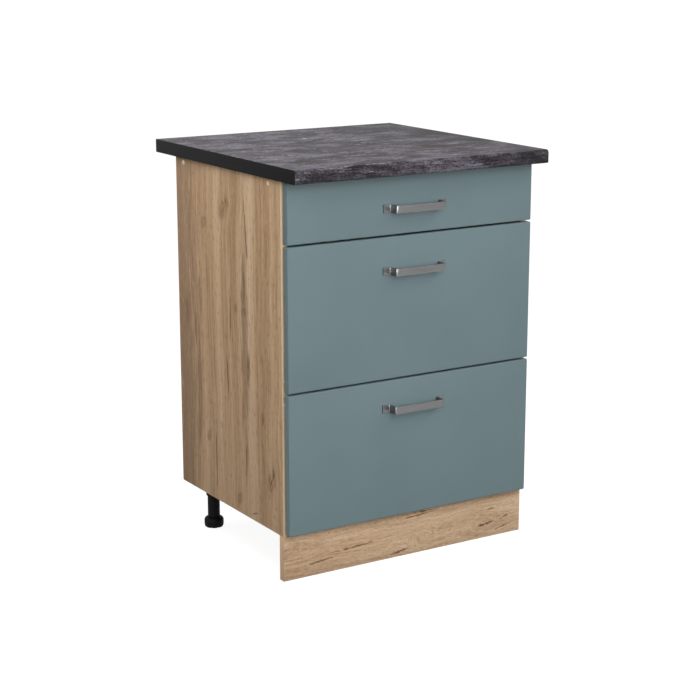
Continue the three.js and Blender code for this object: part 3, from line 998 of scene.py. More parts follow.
@dataclass
class GeometryTree:
    """A geometry tree with named inputs, which is run once on a mesh and leaves a plain mesh."""

    name: str
    inputs: dict[str, str]
    tree: Tree = field(init=False)
    entry: Node = field(init=False)

    def __post_init__(self) -> None:
        """Opens the tree with its sockets."""
        self.tree = bpy.data.node_groups.new(self.name, "GeometryNodeTree")
        kinds = {"Geometry": "Geometry", **self.inputs, "Material": "Material"}
        sockets = self.tree.interface
        for label, kind in kinds.items():
            sockets.new_socket(label, in_out="INPUT", socket_type=f"NodeSocket{kind}")
        sockets.new_socket("Geometry", in_out="OUTPUT", socket_type="NodeSocketGeometry")
        self.entry = add_node(self.tree, "NodeGroupInput")

    def add(self, kind: str, inputs: dict, **settings: object) -> Node:
        """Adds a node, as add_node does. "=Name" stands for the tree's own input of that name."""
        own = {
            key: self.entry.outputs[v[1:]] if isinstance(v, str) and v.startswith("=") else v
            for key, v in inputs.items()
        }
        return add_node(self.tree, kind, own, **settings)

    def close(self, geometry: Node) -> None:
        """Ends the tree: instances are made real, and the material is set."""
        real = self.add("GeometryNodeRealizeInstances", {"Geometry": geometry})
        dressed = self.add("GeometryNodeSetMaterial", {"Geometry": real, "Material": "=Material"})
        self.add("NodeGroupOutput", {"Geometry": dressed})

    def run(
        self, name: str, source: bpy.types.Mesh, finish: Finish, values: dict[str, object]
    ) -> bpy.types.Object:
        """Runs the tree on a mesh.

        Args:
            name: The new piece's name.
            source: The mesh that the tree starts from.
            finish: The piece's finish.
            values: Input name to value.

        Returns:
            A piece with a plain mesh and no modifier.
        """
        carrier = link(f"{name}_source", source)
        modifier = carrier.modifiers.new(self.name, "NODES")
        modifier.node_group = self.tree
        given = {**values, "Material": finish.material()}
        for item in self.tree.interface.items_tree:
            if item.in_out == "INPUT" and item.name in given:
                modifier[item.identifier] = given[item.name]
        graph = bpy.context.evaluated_depsgraph_get()
        mesh = bpy.data.meshes.new_from_object(carrier.evaluated_get(graph), depsgraph=graph)
        bpy.data.objects.remove(carrier)
        mesh.name = name
        if not mesh.materials:
            mesh.materials.append(finish.material())
        return link(name, smooth(mesh))


def fastener_tree() -> GeometryTree:
    """A head on each point, turned to the point's "facing", and spun at random by a fixed seed."""
    made = GeometryTree("fasteners", {"Head": "Object", "Seed": "Int"})
    head = made.add("GeometryNodeObjectInfo", {"Object": "=Head"})
    given = {"Name": "facing"}
    facing = made.add("GeometryNodeInputNamedAttribute", given, data_type="FLOAT_VECTOR")
    given = {
        "Points": "=Geometry",
        "Instance": head.outputs["Geometry"],
        "Rotation": made.add("FunctionNodeAlignRotationToVector", {"Vector": facing}, axis="Z"),
    }
    heads = made.add("GeometryNodeInstanceOnPoints", given)
    # The Min and Max of a random float.
    given = {2: 0.0, 3: math.tau, "Seed": "=Seed"}
    spin = made.add("FunctionNodeRandomValue", given, data_type="FLOAT")
    turn = made.add("ShaderNodeCombineXYZ", {"Z": spin})
    made.close(made.add("GeometryNodeRotateInstances", {"Instances": heads, "Rotation": turn}))
    return made


def strip_tree() -> GeometryTree:
    """A flat strip that follows a line, with a round bend at each of its corners."""
    inputs = dict.fromkeys(("Bend", "Thickness", "Height", "Edge"), "Float") | {"Bend steps": "Int"}
    made = GeometryTree("bent_strip", inputs)
    line = made.add("GeometryNodeMeshToCurve", {"Mesh": "=Geometry"})
    given = {"Curve": line, "Count": "=Bend steps", "Radius": "=Bend"}
    bent = made.add("GeometryNodeFilletCurve", given, mode="POLY")
    upright = made.add("GeometryNodeSetCurveNormal", {"Curve": bent}, mode="Z_UP")
    given = {"Width": "=Thickness", "Height": "=Height"}
    section = made.add("GeometryNodeCurvePrimitiveQuadrilateral", given)
    given = {"Curve": section, "Count": 3, "Radius": "=Edge"}
    eased = made.add("GeometryNodeFilletCurve", given, mode="POLY")
    given = {"Curve": upright, "Profile Curve": eased, "Fill Caps": True}
    made.close(made.add("GeometryNodeCurveToMesh", given))
    return made


def thread_tree() -> GeometryTree:
    """A thread: a ridge that winds up a stem. The geometry given is left out."""
    inputs = dict.fromkeys(("Turns", "Radius", "Height", "Ridge"), "Float") | {"Place": "Vector"}
    made = GeometryTree("thread", inputs)
    given = {
        "Resolution": 32,
        "Rotations": "=Turns",
        "Start Radius": "=Radius",
        "End Radius": "=Radius",
        "Height": "=Height",
    }
    helix = made.add("GeometryNodeCurveSpiral", given)
    given = {"Resolution": 6, "Radius": "=Ridge"}
    section = made.add("GeometryNodeCurvePrimitiveCircle", given, mode="RADIUS")
    given = {"Curve": helix, "Profile Curve": section, "Fill Caps": True}
    ridge = made.add("GeometryNodeCurveToMesh", given)
    made.close(made.add("GeometryNodeTransform", {"Geometry": ridge, "Translation": "=Place"}))
    return made


def points_mesh(name: str, places: Sequence[tuple[Vector, Vector]]) -> bpy.types.Mesh:
    """Loose points with the direction that each faces."""
    mesh = bpy.data.meshes.new(name)
    mesh.from_pydata([p for p, _ in places], [], [])
    facing = mesh.attributes.new("facing", "FLOAT_VECTOR", "POINT")
    facing.data.foreach_set("vector", [c for _, d in places for c in d])
    return mesh


def line_mesh(name: str, points: Sequence[Vector]) -> bpy.types.Mesh:
    """An open line of edges."""
    mesh = bpy.data.meshes.new(name)
    mesh.from_pydata(list(points), [(i, i + 1) for i in range(len(points) - 1)], [])
    return mesh


# ---- Fasteners ----------------------------------------------------------------------------------


# A head's shape, as shares of its radius and height: how much of the height is domed, and how far
# out, how wide and how high the floor of a cross slot is. Then the rings of a slotted and of a
# plain head.
DOME = 0.55
SLOT_REACH, SLOT_HALF_WIDTH, SLOT_FLOOR = 0.62, 0.13, 0.3
SLOTTED_RINGS = (0.12, 0.25, 0.42, 0.58, 0.8, 0.95, 1.0)
PLAIN_RINGS = (0.4, 0.75, 0.94, 1.0)
# How far a head reaches into its face.
HEAD_SUNK = 0.05 * MM


class Head(Enum):
    """A kind of fastener head: its radius and height, and whether it has a cross slot."""

    PAN_SCREW = (3.4 * MM, 1.9 * MM, True)
    FLAT_SCREW = (3.6 * MM, 0.5 * MM, True)
    CAM = (7.5 * MM, 0.4 * MM, True)
    NAIL = (2.2 * MM, 0.5 * MM, False)
    BUFFER = (4.0 * MM, 3.6 * MM, False)
    COVER_CAP = (5.2 * MM, 1.1 * MM, False)

    def mesh(self) -> bpy.types.Mesh:
        """A domed head round the origin that faces +Z, with its cross slot sunk."""
        radius, height, slotted = self.value
        spokes = 24 if slotted else 20
        bm = bmesh.new()
        rows = []
        for share in SLOTTED_RINGS if slotted else PLAIN_RINGS:
            row = []
            for k in range(spokes):
                angle = math.tau * k / spokes
                x, y = share * math.cos(angle), share * math.sin(angle)
                rise = 1 - DOME + DOME * math.sqrt(max(0.0, 1 - share**4))
                if slotted and share < SLOT_REACH and min(abs(x), abs(y)) < SLOT_HALF_WIDTH:
                    rise = SLOT_FLOOR
                row.append(bm.verts.new((x * radius, y * radius, height * rise)))
            rows.append(row)
        rows.append([bm.verts.new((v.co.x, v.co.y, -HEAD_SUNK)) for v in rows[-1]])
        middle = bm.verts.new((0, 0, height * (SLOT_FLOOR if slotted else 1.0)))
        for k in range(spokes):
            bm.faces.new((middle, rows[0][k], rows[0][(k + 1) % spokes]))
        for inner, outer in zip(rows, rows[1:]):
            for k in range(spokes):
                j = (k + 1) % spokes
                bm.faces.new((inner[k], outer[k], outer[j], inner[j]))
        bm.faces.new(rows[-1][::-1])
        bmesh.ops.recalc_face_normals(bm, faces=bm.faces)
        mesh = bpy.data.meshes.new(self.name.lower())
        bm.to_mesh(mesh)
        bm.free()
        return mesh


@dataclass
class Fasteners:
    """Sets fields of equal heads, each field one piece on one body."""

    tree: GeometryTree = field(default_factory=fastener_tree)
    seed: int = 7

    def field(
        self,
        name: str,
        head: Head,
        places: Sequence[tuple[Sequence[float], Face]],
        body: str = "carcass",
        finish: Finish = ZINC,
        slot: str = "zinc_steel",
    ) -> None:
        """Makes one field.

        Args:
            name: The piece's name.
            head: The kind of head.
            places: The point under each head, and the face that it stands on.
            body: The body that it rides on.
            finish: Its finish.
            slot: Its material slot, which is not used.
        """
        pattern = link("head_pattern", head.mesh())
        points = points_mesh(f"{name}_points", [(Vector(p), Vector(f.value)) for p, f in places])
        made = self.tree.run(name, points, finish, {"Head": pattern, "Seed": self.seed})
        bpy.data.objects.remove(pattern)
        settle(made, body, slot)


# ---- Worktop ------------------------------------------------------------------------------------


@dataclass
class Worktop:
    """The slab with its rolled front edge, and a flat black band on each end."""

    top_radius: float = 7 * MM
    bottom_radius: float = 3 * MM
    band_ease: float = 0.3 * MM

    def section(self, low: Vector, high: Vector) -> list[Point]:
        """The outline in Y and Z."""
        corners = [
            (low.y, low.z, self.bottom_radius),
            (high.y, low.z),
            (high.y, high.z),
            (low.y, high.z, self.top_radius),
        ]
        return rounded(corners, steps=10)

    def build(self) -> None:
        """Makes the slab and its bands."""
        low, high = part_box("worktop")
        slab = prism(self.section(low, high), Axis.X, low.x, high.x)
        others = {Face.UNDER: BACKING_PAPER, Face.REAR: CHIPBOARD}
        piece = piece_of("worktop_slab", slab, STONE, others)
        settle(piece, "carcass", "slate_laminate", "worktop")
        for side in Side:
            node = f"worktop_edging_{side.word}"
            low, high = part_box(node)
            band = prism(self.section(low, high), Axis.X, low.x, high.x, self.band_ease)
            settle(piece_of(f"{node}_band", band, BLACK_BAND), "carcass", "black_edging", node)


# ---- Carcass ------------------------------------------------------------------------------------


@dataclass
class Carcass:
    """Side panels, bottom, rails and back, with their edgings, caps, cams, nails and buffers."""

    fasteners: Fasteners
    ease: float = 0.4 * MM
    cap_from_front: float = 48 * MM
    cap_from_rear: float = 37 * MM
    cap_below_top: float = 10 * MM
    cam_from_end: float = 34 * MM
    cam_from_edge: float = 50 * MM
    nail_pitch: float = 110 * MM
    nail_inset: float = 7 * MM
    buffer_inset: float = 22 * MM
    rail_screw_inset: float = 90 * MM

    def panels(self) -> None:
        """The chipboard panels, the thin back and the edge bands."""
        raw = dict.fromkeys((Face.UNDER, Face.TOP, Face.REAR), CHIPBOARD)
        boards = [
            ("side_panel_left", "oak_decor", LEFT_SIDE_OAK, raw),
            ("side_edging_left", "oak_edging", EDGE_OAK, None),
            ("side_panel_right", "oak_decor", RIGHT_SIDE_OAK, raw),
            ("side_edging_right", "oak_edging", EDGE_OAK, None),
            ("bottom_panel", "oak_decor", FLOOR_OAK, {Face.REAR: CHIPBOARD}),
            ("back_panel", "hardboard", HARDBOARD, {Face.FRONT: GREY_MELAMINE}),
            ("top_rail_front", "grey_board", GREY_MELAMINE, None),
            ("top_rail_rear", "grey_board", GREY_MELAMINE, None),
        ]
        for node, slot, finish, others in boards:
            place_board(node, f"{node}_board", "carcass", slot, finish, self.ease, others)

    def caps(self) -> None:
        """Small round covers over the top rails' screws."""
        low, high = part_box("side_panel_left")
        front_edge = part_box("side_edging_left")[0].y
        places = []
        for face, x in ((Face.LEFT_END, low.x), (Face.RIGHT_END, -low.x)):
            for y in (front_edge + self.cap_from_front, high.y - self.cap_from_rear):
                places.append(((x, y, high.z - self.cap_below_top), face))
        own = {"finish": CAP_PLASTIC, "slot": "oak_edging"}
        self.fasteners.field("cover_caps", Head.COVER_CAP, places, **own)

    def cams(self) -> None:
        """Cam fittings in the bottom panel's underside, which draw the side panels onto it."""
        low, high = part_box("bottom_panel")
        places = [
            ((x, y, low.z), Face.UNDER)
            for x in inset(low.x, high.x, self.cam_from_end)
            for y in inset(low.y, high.y, self.cam_from_edge)
        ]
        self.fasteners.field("bottom_panel_cams", Head.CAM, places)

    def nails(self) -> None:
        """Nails round the rim of the back panel."""
        low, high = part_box("back_panel")
        sides = inset(low.x, high.x, self.nail_inset)
        ends = inset(low.z, high.z, self.nail_inset)
        rim = [(x, z) for x in self.spread(*sides) for z in ends]
        rim += [(x, z) for z in self.spread(*ends)[1:-1] for x in sides]
        places = [((x, high.y, z), Face.REAR) for x, z in rim]
        self.fasteners.field("back_panel_nails", Head.NAIL, places)

    def spread(self, start: float, end: float) -> list[float]:
        """Even places from start to end, about a nail pitch apart."""
        count = max(2, round((end - start) / self.nail_pitch) + 1)
        return [start + (end - start) * k / (count - 1) for k in range(count)]

    def buffers(self) -> None:
        """Pale pads on the side panels' front edges, which the drawer fronts close against."""
        places = []
        for name in DRAWER_NAMES:
            low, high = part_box(f"{name}_drawer_front")
            for side in Side:
                edge_low, edge_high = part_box(f"side_edging_{side.word}")
                x = (edge_low.x + edge_high.x) / 2
                for z in inset(low.z, high.z, self.buffer_inset):
                    places.append(((x, edge_low.y, z), Face.FRONT))
        own = {"finish": CLEAR_PAD, "slot": "nylon"}
        self.fasteners.field("front_buffers", Head.BUFFER, places, **own)

    def worktop_screws(self) -> None:
        """Screws up through the top rails into the worktop."""
        places = []
        for place in ("front", "rear"):
            low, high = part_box(f"top_rail_{place}")
            for x in inset(low.x, high.x, self.rail_screw_inset):
                places.append(((x, (low.y + high.y) / 2, low.z), Face.UNDER))
        self.fasteners.field("worktop_screws", Head.PAN_SCREW, places)

    def build(self) -> None:
        """Makes the carcass."""
        self.panels()
        self.caps()
        self.cams()
        self.nails()
        self.buffers()
        self.worktop_screws()


# ---- Plinth -------------------------------------------------------------------------------------


@dataclass
class Plinth:
    """The board on the floor, and the steel angles that hold it."""

    fasteners: Fasteners
    ease: float = 0.5 * MM
    screw_spread: float = 10 * MM
    arm_place: float = 29 * MM
    sheet: float = 2 * MM

    def build(self, frame: dict) -> None:
        """Makes the plinth."""
        node, name, ease = "plinth_board", "plinth_oak_board", self.ease
        others = dict.fromkeys((Face.UNDER, Face.TOP), CHIPBOARD)
        others |= dict.fromkeys((Face.LEFT_END, Face.RIGHT_END), PLINTH_EDGE)
        place_board(node, name, "carcass", "plinth_oak", PLINTH_OAK, ease, others)
        places = []
        for side in Side:
            node = f"plinth_bracket_{side.word}"
            dress_node(frame, node, ZINC)
            low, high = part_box(node)
            middle = (low.x + high.x) / 2
            for x in (middle - self.screw_spread, middle + self.screw_spread):
                places.append(((x, low.y + self.sheet, high.z - self.arm_place), Face.REAR))
                places.append(((x, low.y + self.arm_place, high.z - self.sheet), Face.UNDER))
        self.fasteners.field("plinth_bracket_screws", Head.PAN_SCREW, places)


# ---- Legs ---------------------------------------------------------------------------------------


@dataclass
class Leg:
    """A rear leg: a socket under the bottom panel, and a screw foot with a notched rim."""

    side: Side
    fasteners: Fasteners
    thread: GeometryTree
    flange: float = 5 * MM
    collar_radius: float = 18 * MM
    collar_height: float = 24 * MM
    collar_taper: float = 2 * MM
    tube_radius: float = 13.5 * MM
    wall: float = 2.5 * MM
    # How far below the flange the bore ends.
    bore_end: float = 2 * MM
    ribs: int = 4
    rib: float = 2.5 * MM
    rib_inset: float = 1.5 * MM
    rib_toe: float = 2 * MM
    # A rib reaches into the flange by this, and starts inside the collar, this far off the tube.
    rib_root: float = 1 * MM
    screw_inset: float = 5.5 * MM
    base_height: float = 22 * MM
    base_edge: float = 1.5 * MM
    rim_height: float = 6 * MM
    shoulder: float = 7 * MM
    stem_radius: float = 10 * MM
    notches: int = 8
    notch_depth: float = 2.0 * MM
    notch_height: float = 8 * MM
    # How far in from the rim the notches are cut, and the cosine at which each one begins.
    notch_band: float = 4 * MM
    notch_start: float = 0.55
    thread_turns: float = 9.0
    thread_ridge: float = 0.45 * MM
    thread_margin: float = 3 * MM

    def socket(self) -> None:
        """The flange, its collar with four ribs, and the open tube."""
        node = f"leg_socket_{self.side.word}"
        low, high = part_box(node)
        centre, radius = centre_of(node, Axis.Z), (high.x - low.x) / 2
        top, under = high.z, high.z - self.flange
        bore = self.tube_radius - self.wall
        neck = top - self.collar_height
        # The bore is left open below, so the profile comes back up inside the tube. A third number
        # is the rounding of that corner, here and in the other profiles.
        profile = rounded(
            [
                (0, top),
                (radius, top, 0.6 * MM),
                (radius, under, 1.2 * MM),
                (self.collar_radius, under, 1.5 * MM),
                (self.collar_radius - self.collar_taper, neck, 1.2 * MM),
                (self.tube_radius, neck, 0.8 * MM),
                (self.tube_radius, low.z, 0.5 * MM),
                (bore, low.z, 0.4 * MM),
                (bore, under - self.bore_end),
                (0, under - self.bore_end),
            ],
            steps=4,
        )
        parts = [turned(profile, centre, Axis.Z, segments=64)]
        parts += [self.rib_skin(centre, k, radius, under, neck) for k in range(self.ribs)]
        piece = piece_of(f"{node}_moulding", joined(*parts), BLACK_PLASTIC)
        settle(piece, "carcass", "black_plastic", node)
        places = []
        for k in range(self.ribs):
            angle = math.tau * k / self.ribs
            out = Vector((math.cos(angle), math.sin(angle), 0))
            place = centre + out * (radius - self.screw_inset) + Vector((0, 0, under))
            places.append((place, Face.UNDER))
        self.fasteners.field(f"leg_screws_{self.side.word}", Head.PAN_SCREW, places)

    def rib_skin(
        self, centre: Vector, number: int, radius: float, under: float, neck: float
    ) -> Skin:
        """One upright rib between the flange and the tube."""
        angle = math.tau * (number + 0.5) / self.ribs
        out = Vector((math.cos(angle), math.sin(angle), 0))
        aside = Vector((-out.y, out.x, 0)) * (self.rib / 2)
        root, tip = self.tube_radius + self.rib_root, radius - self.rib_inset
        outline = [
            (root, under + self.rib_root),
            (tip, under + self.rib_root),
            (tip, under - self.rib_toe),
            (root, neck + self.rib_root),
        ]
        middle = [(centre + out * r, Vector((0, 0, z))) for r, z in outline]
        return skin([[place + k * aside + up for place, up in middle] for k in (-1, 1)])

    def foot(self) -> None:
        """The base with its soft shoulder and notched rim, and the threaded stem."""
        node = f"leg_foot_{self.side.word}"
        low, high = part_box(node)
        centre, radius = centre_of(node, Axis.Z), (high.x - low.x) / 2
        profile = rounded(
            [
                (0, 0),
                (radius - self.base_edge, 0, self.base_edge),
                (radius, self.rim_height),
                (radius, self.base_height, self.shoulder),
                (self.stem_radius, self.base_height, 0.6 * MM),
                (self.stem_radius, high.z, 0.6 * MM),
                (0, high.z),
            ],
            steps=6,
        )
        rings = []
        segments = 12 * self.notches
        for k in range(segments):
            angle = math.tau * k / segments
            wave = max(0.0, math.cos(self.notches * angle) - self.notch_start)
            bite = self.notch_depth * wave / (1 - self.notch_start)
            ring = []
            for r, z in profile:
                depth = bite * max(0.0, 1 - (z / self.notch_height) ** 2)
                reach = r - depth if r > radius - self.notch_band else r
                ring.append(centre + Vector((reach * math.cos(angle), reach * math.sin(angle), z)))
            rings.append(ring)
        body = f"{self.side.word}_foot"
        piece = piece_of(f"{node}_moulding", skin(rings, loop=True), BLACK_PLASTIC)
        settle(piece, body, "black_plastic", node)
        start = self.base_height + self.thread_margin
        values = {
            "Turns": self.thread_turns,
            "Radius": self.stem_radius,
            "Height": high.z - self.thread_margin - start,
            "Ridge": self.thread_ridge,
            "Place": (centre.x, centre.y, start),
        }
        source = points_mesh("thread_source", [(centre, Vector((0, 0, 1)))])
        ridge = self.thread.run(f"leg_thread_{self.side.word}", source, BLACK_PLASTIC, values)
        settle(ridge, body, "black_plastic")

    def build(self) -> None:
        """Makes the leg."""
        self.socket()
        self.foot()


# ---- Drawers ------------------------------------------------------------------------------------


@dataclass
class Drawer:
    """A drawer: front, handle, steel sides, boards, rails and rollers, with its cabinet runners."""

    name: str
    fasteners: Fasteners
    strip: GeometryTree
    sheet: float = 1.25 * MM
    sheet_bend: float = 1.6 * MM
    bottom_fit: float = 1.5 * MM
    front_edge: float = 2.5 * MM
    board_ease: float = 0.5 * MM
    handle_thickness: float = 3 * MM
    handle_bend: float = 3 * MM
    handle_bar: float = 120 * MM
    handle_edge: float = 0.7 * MM
    handle_holes: float = 128 * MM
    plate_ease: float = 0.15 * MM
    ledge: float = 12 * MM
    # The ledge's screws, as shares of its length.
    ledge_screws: tuple[float, ...] = (0.12, 0.5, 0.88)
    flange_place: float = 12 * MM
    flange_width: float = 9 * MM
    # How far the flange ends from the front and from the roller.
    flange_inset: float = 2 * MM
    hem_width: float = 8 * MM
    hem_drop: float = 9 * MM
    tab_width: float = 20 * MM
    tab_from_ledge: float = 20 * MM
    tab_below_top: float = 14 * MM
    tab_screw_inset: float = 10 * MM
    rail_bar_radius: float = 5 * MM
    rail_cup_length: float = 14 * MM
    rail_cup_rim: float = 3 * MM
    rail_cup_neck: float = 1 * MM
    roller_bore: float = 3.3 * MM
    # Its sides are flat out to a step, and lean in from there to the tread.
    roller_flat: float = 3.4 * MM
    roller_foot: float = 2.8 * MM
    roller_step: float = 0.5 * MM
    roller_lean: float = 0.2 * MM
    roller_groove: float = 0.6 * MM
    roller_groove_half: float = 1.2 * MM
    pin_radius: float = 3 * MM
    pin_collar: float = 5 * MM
    pin_head: float = 4.5 * MM
    pin_head_thickness: float = 0.6 * MM
    end_play: float = 0.3 * MM
    runner_screws: tuple[float, ...] = (37 * MM, 165 * MM, 261 * MM, 389 * MM)

    @property
    def body(self) -> str:
        """The CAD body of this drawer."""
        return f"{self.name}_drawer"

    @property
    def wall(self) -> float:
        """The outer face of a steel side's wall, as a distance from the middle."""
        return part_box(f"{self.name}_drawer_bottom")[1].x + self.bottom_fit + self.sheet

    def front(self) -> None:
        """The foil-wrapped front with softly rounded edges."""
        node = f"{self.name}_drawer_front"
        raw = {Face.REAR: GREY_MELAMINE}
        edge = self.front_edge
        name = f"{node}_panel"
        place_board(node, name, self.body, "matte_front", FRONT_FOIL, edge, raw, steps=5)

    def handle(self) -> None:
        """The bow handle: one strip, flat on the front at both ends."""
        node = f"{self.name}_handle"
        low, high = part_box(node)
        half = self.handle_thickness / 2
        tab_y, bar_y = high.y - half, low.y + half
        leg_x = self.handle_bar / 2 - half
        z = (low.z + high.z) / 2
        left = [(low.x, tab_y), (-leg_x, tab_y), (-leg_x, bar_y)]
        line = left + [(-x, y) for x, y in reversed(left)]
        values = {
            "Bend": self.handle_bend,
            "Bend steps": 8,
            "Thickness": self.handle_thickness,
            "Height": high.z - low.z,
            "Edge": self.handle_edge,
        }
        source = line_mesh("handle_line", [Vector((x, y, z)) for x, y in line])
        made = self.strip.run(f"{node}_strip", source, HANDLE_METAL, values)
        settle(made, self.body, "brushed_handle", node)
        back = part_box(f"{self.name}_drawer_front")[1].y
        places = [((sign * self.handle_holes / 2, back, z), Face.REAR) for sign in (-1, 1)]
        self.fasteners.field(f"{self.name}_handle_screws", Head.PAN_SCREW, places, self.body)

    def boards(self) -> None:
        """The bottom and the back."""
        ends, ease = (Face.LEFT_END, Face.RIGHT_END), self.board_ease
        for part, faces in (("bottom", (Face.REAR,)), ("back", ends)):
            node, raw = f"{self.name}_drawer_{part}", dict.fromkeys(faces, CHIPBOARD)
            place_board(node, f"{node}_board", self.body, "grey_board", GREY_MELAMINE, ease, raw)

    def steel_side(self, side: Side) -> None:
        """The rolled side: ledge, wall, runner flange, hemmed top, end tabs and roller pin."""
        node = f"{self.name}_drawer_side_{side.word}"
        low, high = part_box(node)
        sign, wall, half = side.value, self.wall, self.sheet / 2
        path = [
            (wall - self.sheet - self.ledge, low.z + half),
            (wall - half, low.z + half),
            (wall - half, high.z - half),
            (wall + self.hem_width - half, high.z - half),
            (wall + self.hem_width - half, high.z - self.hem_drop),
        ]
        bends = bent_sheet(path, self.sheet, self.sheet_bend)
        outline = [(sign * x, z) for x, z in rounded(bends, steps=6)]
        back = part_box(f"{self.name}_drawer_back")[1].y
        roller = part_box(f"{self.name}_drawer_roller_{side.word}")[0].y
        flange_y = inset(low.y, roller, self.flange_inset)
        flange_z = (low.z + self.flange_place, low.z + self.flange_place + self.sheet)
        tab_x = (wall - self.sheet - self.tab_width, wall - half)
        tab_z = (low.z + self.tab_from_ledge, high.z - self.tab_below_top)
        parts = [
            prism(outline, Axis.Y, low.y, high.y),
            self.plate(sign, (wall - half, wall + self.flange_width), flange_y, flange_z),
            self.plate(sign, tab_x, (low.y, low.y + self.sheet), tab_z),
            self.plate(sign, tab_x, (back, back + self.sheet), tab_z),
            self.roller_pin(side),
        ]
        piece = piece_of(f"{node}_sheet", joined(*parts), POWDER_COAT)
        settle(piece, self.body, "coated_steel", node)
        places = []
        tab_middle = sign * (wall - self.sheet - self.tab_width / 2)
        for z in inset(*tab_z, self.tab_screw_inset):
            places += [((tab_middle, y + self.sheet, z), Face.REAR) for y in (low.y, back)]
        ledge_middle = sign * (wall - self.sheet - self.ledge / 2)
        for share in self.ledge_screws:
            places.append(((ledge_middle, low.y + (high.y - low.y) * share, low.z), Face.UNDER))
        self.fasteners.field(f"{node}_screws", Head.PAN_SCREW, places, self.body)

    def roller_pin(self, side: Side) -> Skin:
        """The riveted pin of a side's rear roller, with a collar at the wall and a head."""
        node = f"{self.name}_drawer_roller_{side.word}"
        near, far = sorted(abs(corner.x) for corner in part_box(node))
        collar, head = near - self.end_play, far + self.end_play
        tip = head + self.pin_head_thickness
        profile = rounded(
            [
                (0, self.wall - self.sheet / 2),
                (self.pin_collar, self.wall - self.sheet / 2),
                (self.pin_collar, collar, 0.3 * MM),
                (self.pin_radius, collar),
                (self.pin_radius, head),
                (self.pin_head, head),
                (self.pin_head, tip, 0.4 * MM),
                (0, tip),
            ],
            steps=3,
        )
        outline = [(r, side.value * x) for r, x in profile]
        return turned(outline, centre_of(node, Axis.X), Axis.X, segments=32)

    def plate(self, sign: int, x: Point, y: Point, z: Point) -> Skin:
        """A thin eased plate on one hand."""
        xs = sorted(sign * v for v in x)
        return block((xs[0], y[0], z[0]), (xs[1], y[1], z[1]), self.plate_ease, steps=1)

    def rails(self, frame: dict) -> None:
        """The gallery rails of a deep drawer, with their end cups."""
        for side in Side:
            node = f"{self.name}_gallery_rail_{side.word}"
            if node not in frame["nodes"]:
                continue
            low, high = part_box(node)
            cup, bar = (high.x - low.x) / 2, self.rail_bar_radius
            end = [
                (0, 0),
                (cup, 0, 0.8 * MM),
                (cup, self.rail_cup_rim, 1 * MM),
                (bar + self.rail_cup_neck, self.rail_cup_length, 0.5 * MM),
                (bar, self.rail_cup_length),
            ]
            profile = [(r, low.y + y, *rest) for r, y, *rest in end]
            profile += [(r, high.y - y, *rest) for r, y, *rest in reversed(end)]
            profile = rounded(profile, steps=4)
            rail = turned(profile, centre_of(node, Axis.Y), Axis.Y, segments=40)
            settle(piece_of(f"{node}_bar", rail, POWDER_COAT), self.body, "coated_steel", node)

    def roller(self, node: str) -> None:
        """A nylon roller with a shallow groove, eased rims and a bore."""
        low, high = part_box(node)
        radius, half = (high.z - low.z) / 2, (high.x - low.x) / 2
        side = [
            (self.roller_bore, -half),
            (radius - self.roller_flat, -half),
            (radius - self.roller_foot, -half + self.roller_step),
            (radius, -half + self.roller_lean, 0.8 * MM),
            (radius, -self.roller_groove_half, 0.4 * MM),
        ]
        groove = [(radius - self.roller_groove, 0, 0.6 * MM)]
        mirrored = [(r, -x, *rest) for r, x, *rest in reversed(side)]
        profile = rounded(side + groove + mirrored, steps=3)
        wheel = turned(profile, centre_of(node), Axis.X, segments=40)
        settle(piece_of(f"{node}_wheel", wheel, NYLON), node, "nylon", node)

    def runner(self, frame: dict, side: Side) -> None:
        """The cabinet runner, with the screws that hold it to the side panel."""
        node = f"{self.name}_runner_{side.word}"
        dress_node(frame, node, ZINC)
        low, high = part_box(node)
        if side is Side.RIGHT:
            face, web = Face.LEFT_END, high.x - self.sheet
        else:
            face, web = Face.RIGHT_END, low.x + self.sheet
        middle = (low.z + high.z) / 2
        places = [((web, low.y + offset, middle), face) for offset in self.runner_screws]
        self.fasteners.field(f"{node}_screws", Head.FLAT_SCREW, places)

    def build(self, frame: dict) -> None:
        """Makes the drawer and its runners."""
        self.front()
        self.handle()
        self.boards()
        self.rails(frame)
        for side in Side:
            self.steel_side(side)
            self.runner(frame, side)
            self.roller(f"{self.name}_drawer_roller_{side.word}")
            self.roller(f"{self.name}_runner_roller_{side.word}")


# ---- Studio -------------------------------------------------------------------------------------


@dataclass(frozen=True)
class Lamp:
    """A soft rectangular lamp that faces a point at the cabinet's middle height."""

    name: str
    place: Corner
    power: float
    width: float
    height: float
    faces: Corner = (0.0, 0.0, 0.45)
    # A lamp that shows in glossy surfaces and leaves the rest as it was.
    glints_only: bool = False

    def build(self) -> None:
        """Links the lamp."""
        data = bpy.data.lights.new(self.name, "AREA")
        data.shape = "RECTANGLE"
        data.size, data.size_y = self.width, self.height
        data.energy = self.power
        lamp = link(self.name, data)
        lamp.location = self.place
        lamp.visible_diffuse = not self.glints_only
        lamp.rotation_mode = "QUATERNION"
        beam = Vector(self.faces) - Vector(self.place)
        lamp.rotation_quaternion = beam.to_track_quat("-Z", "Y")


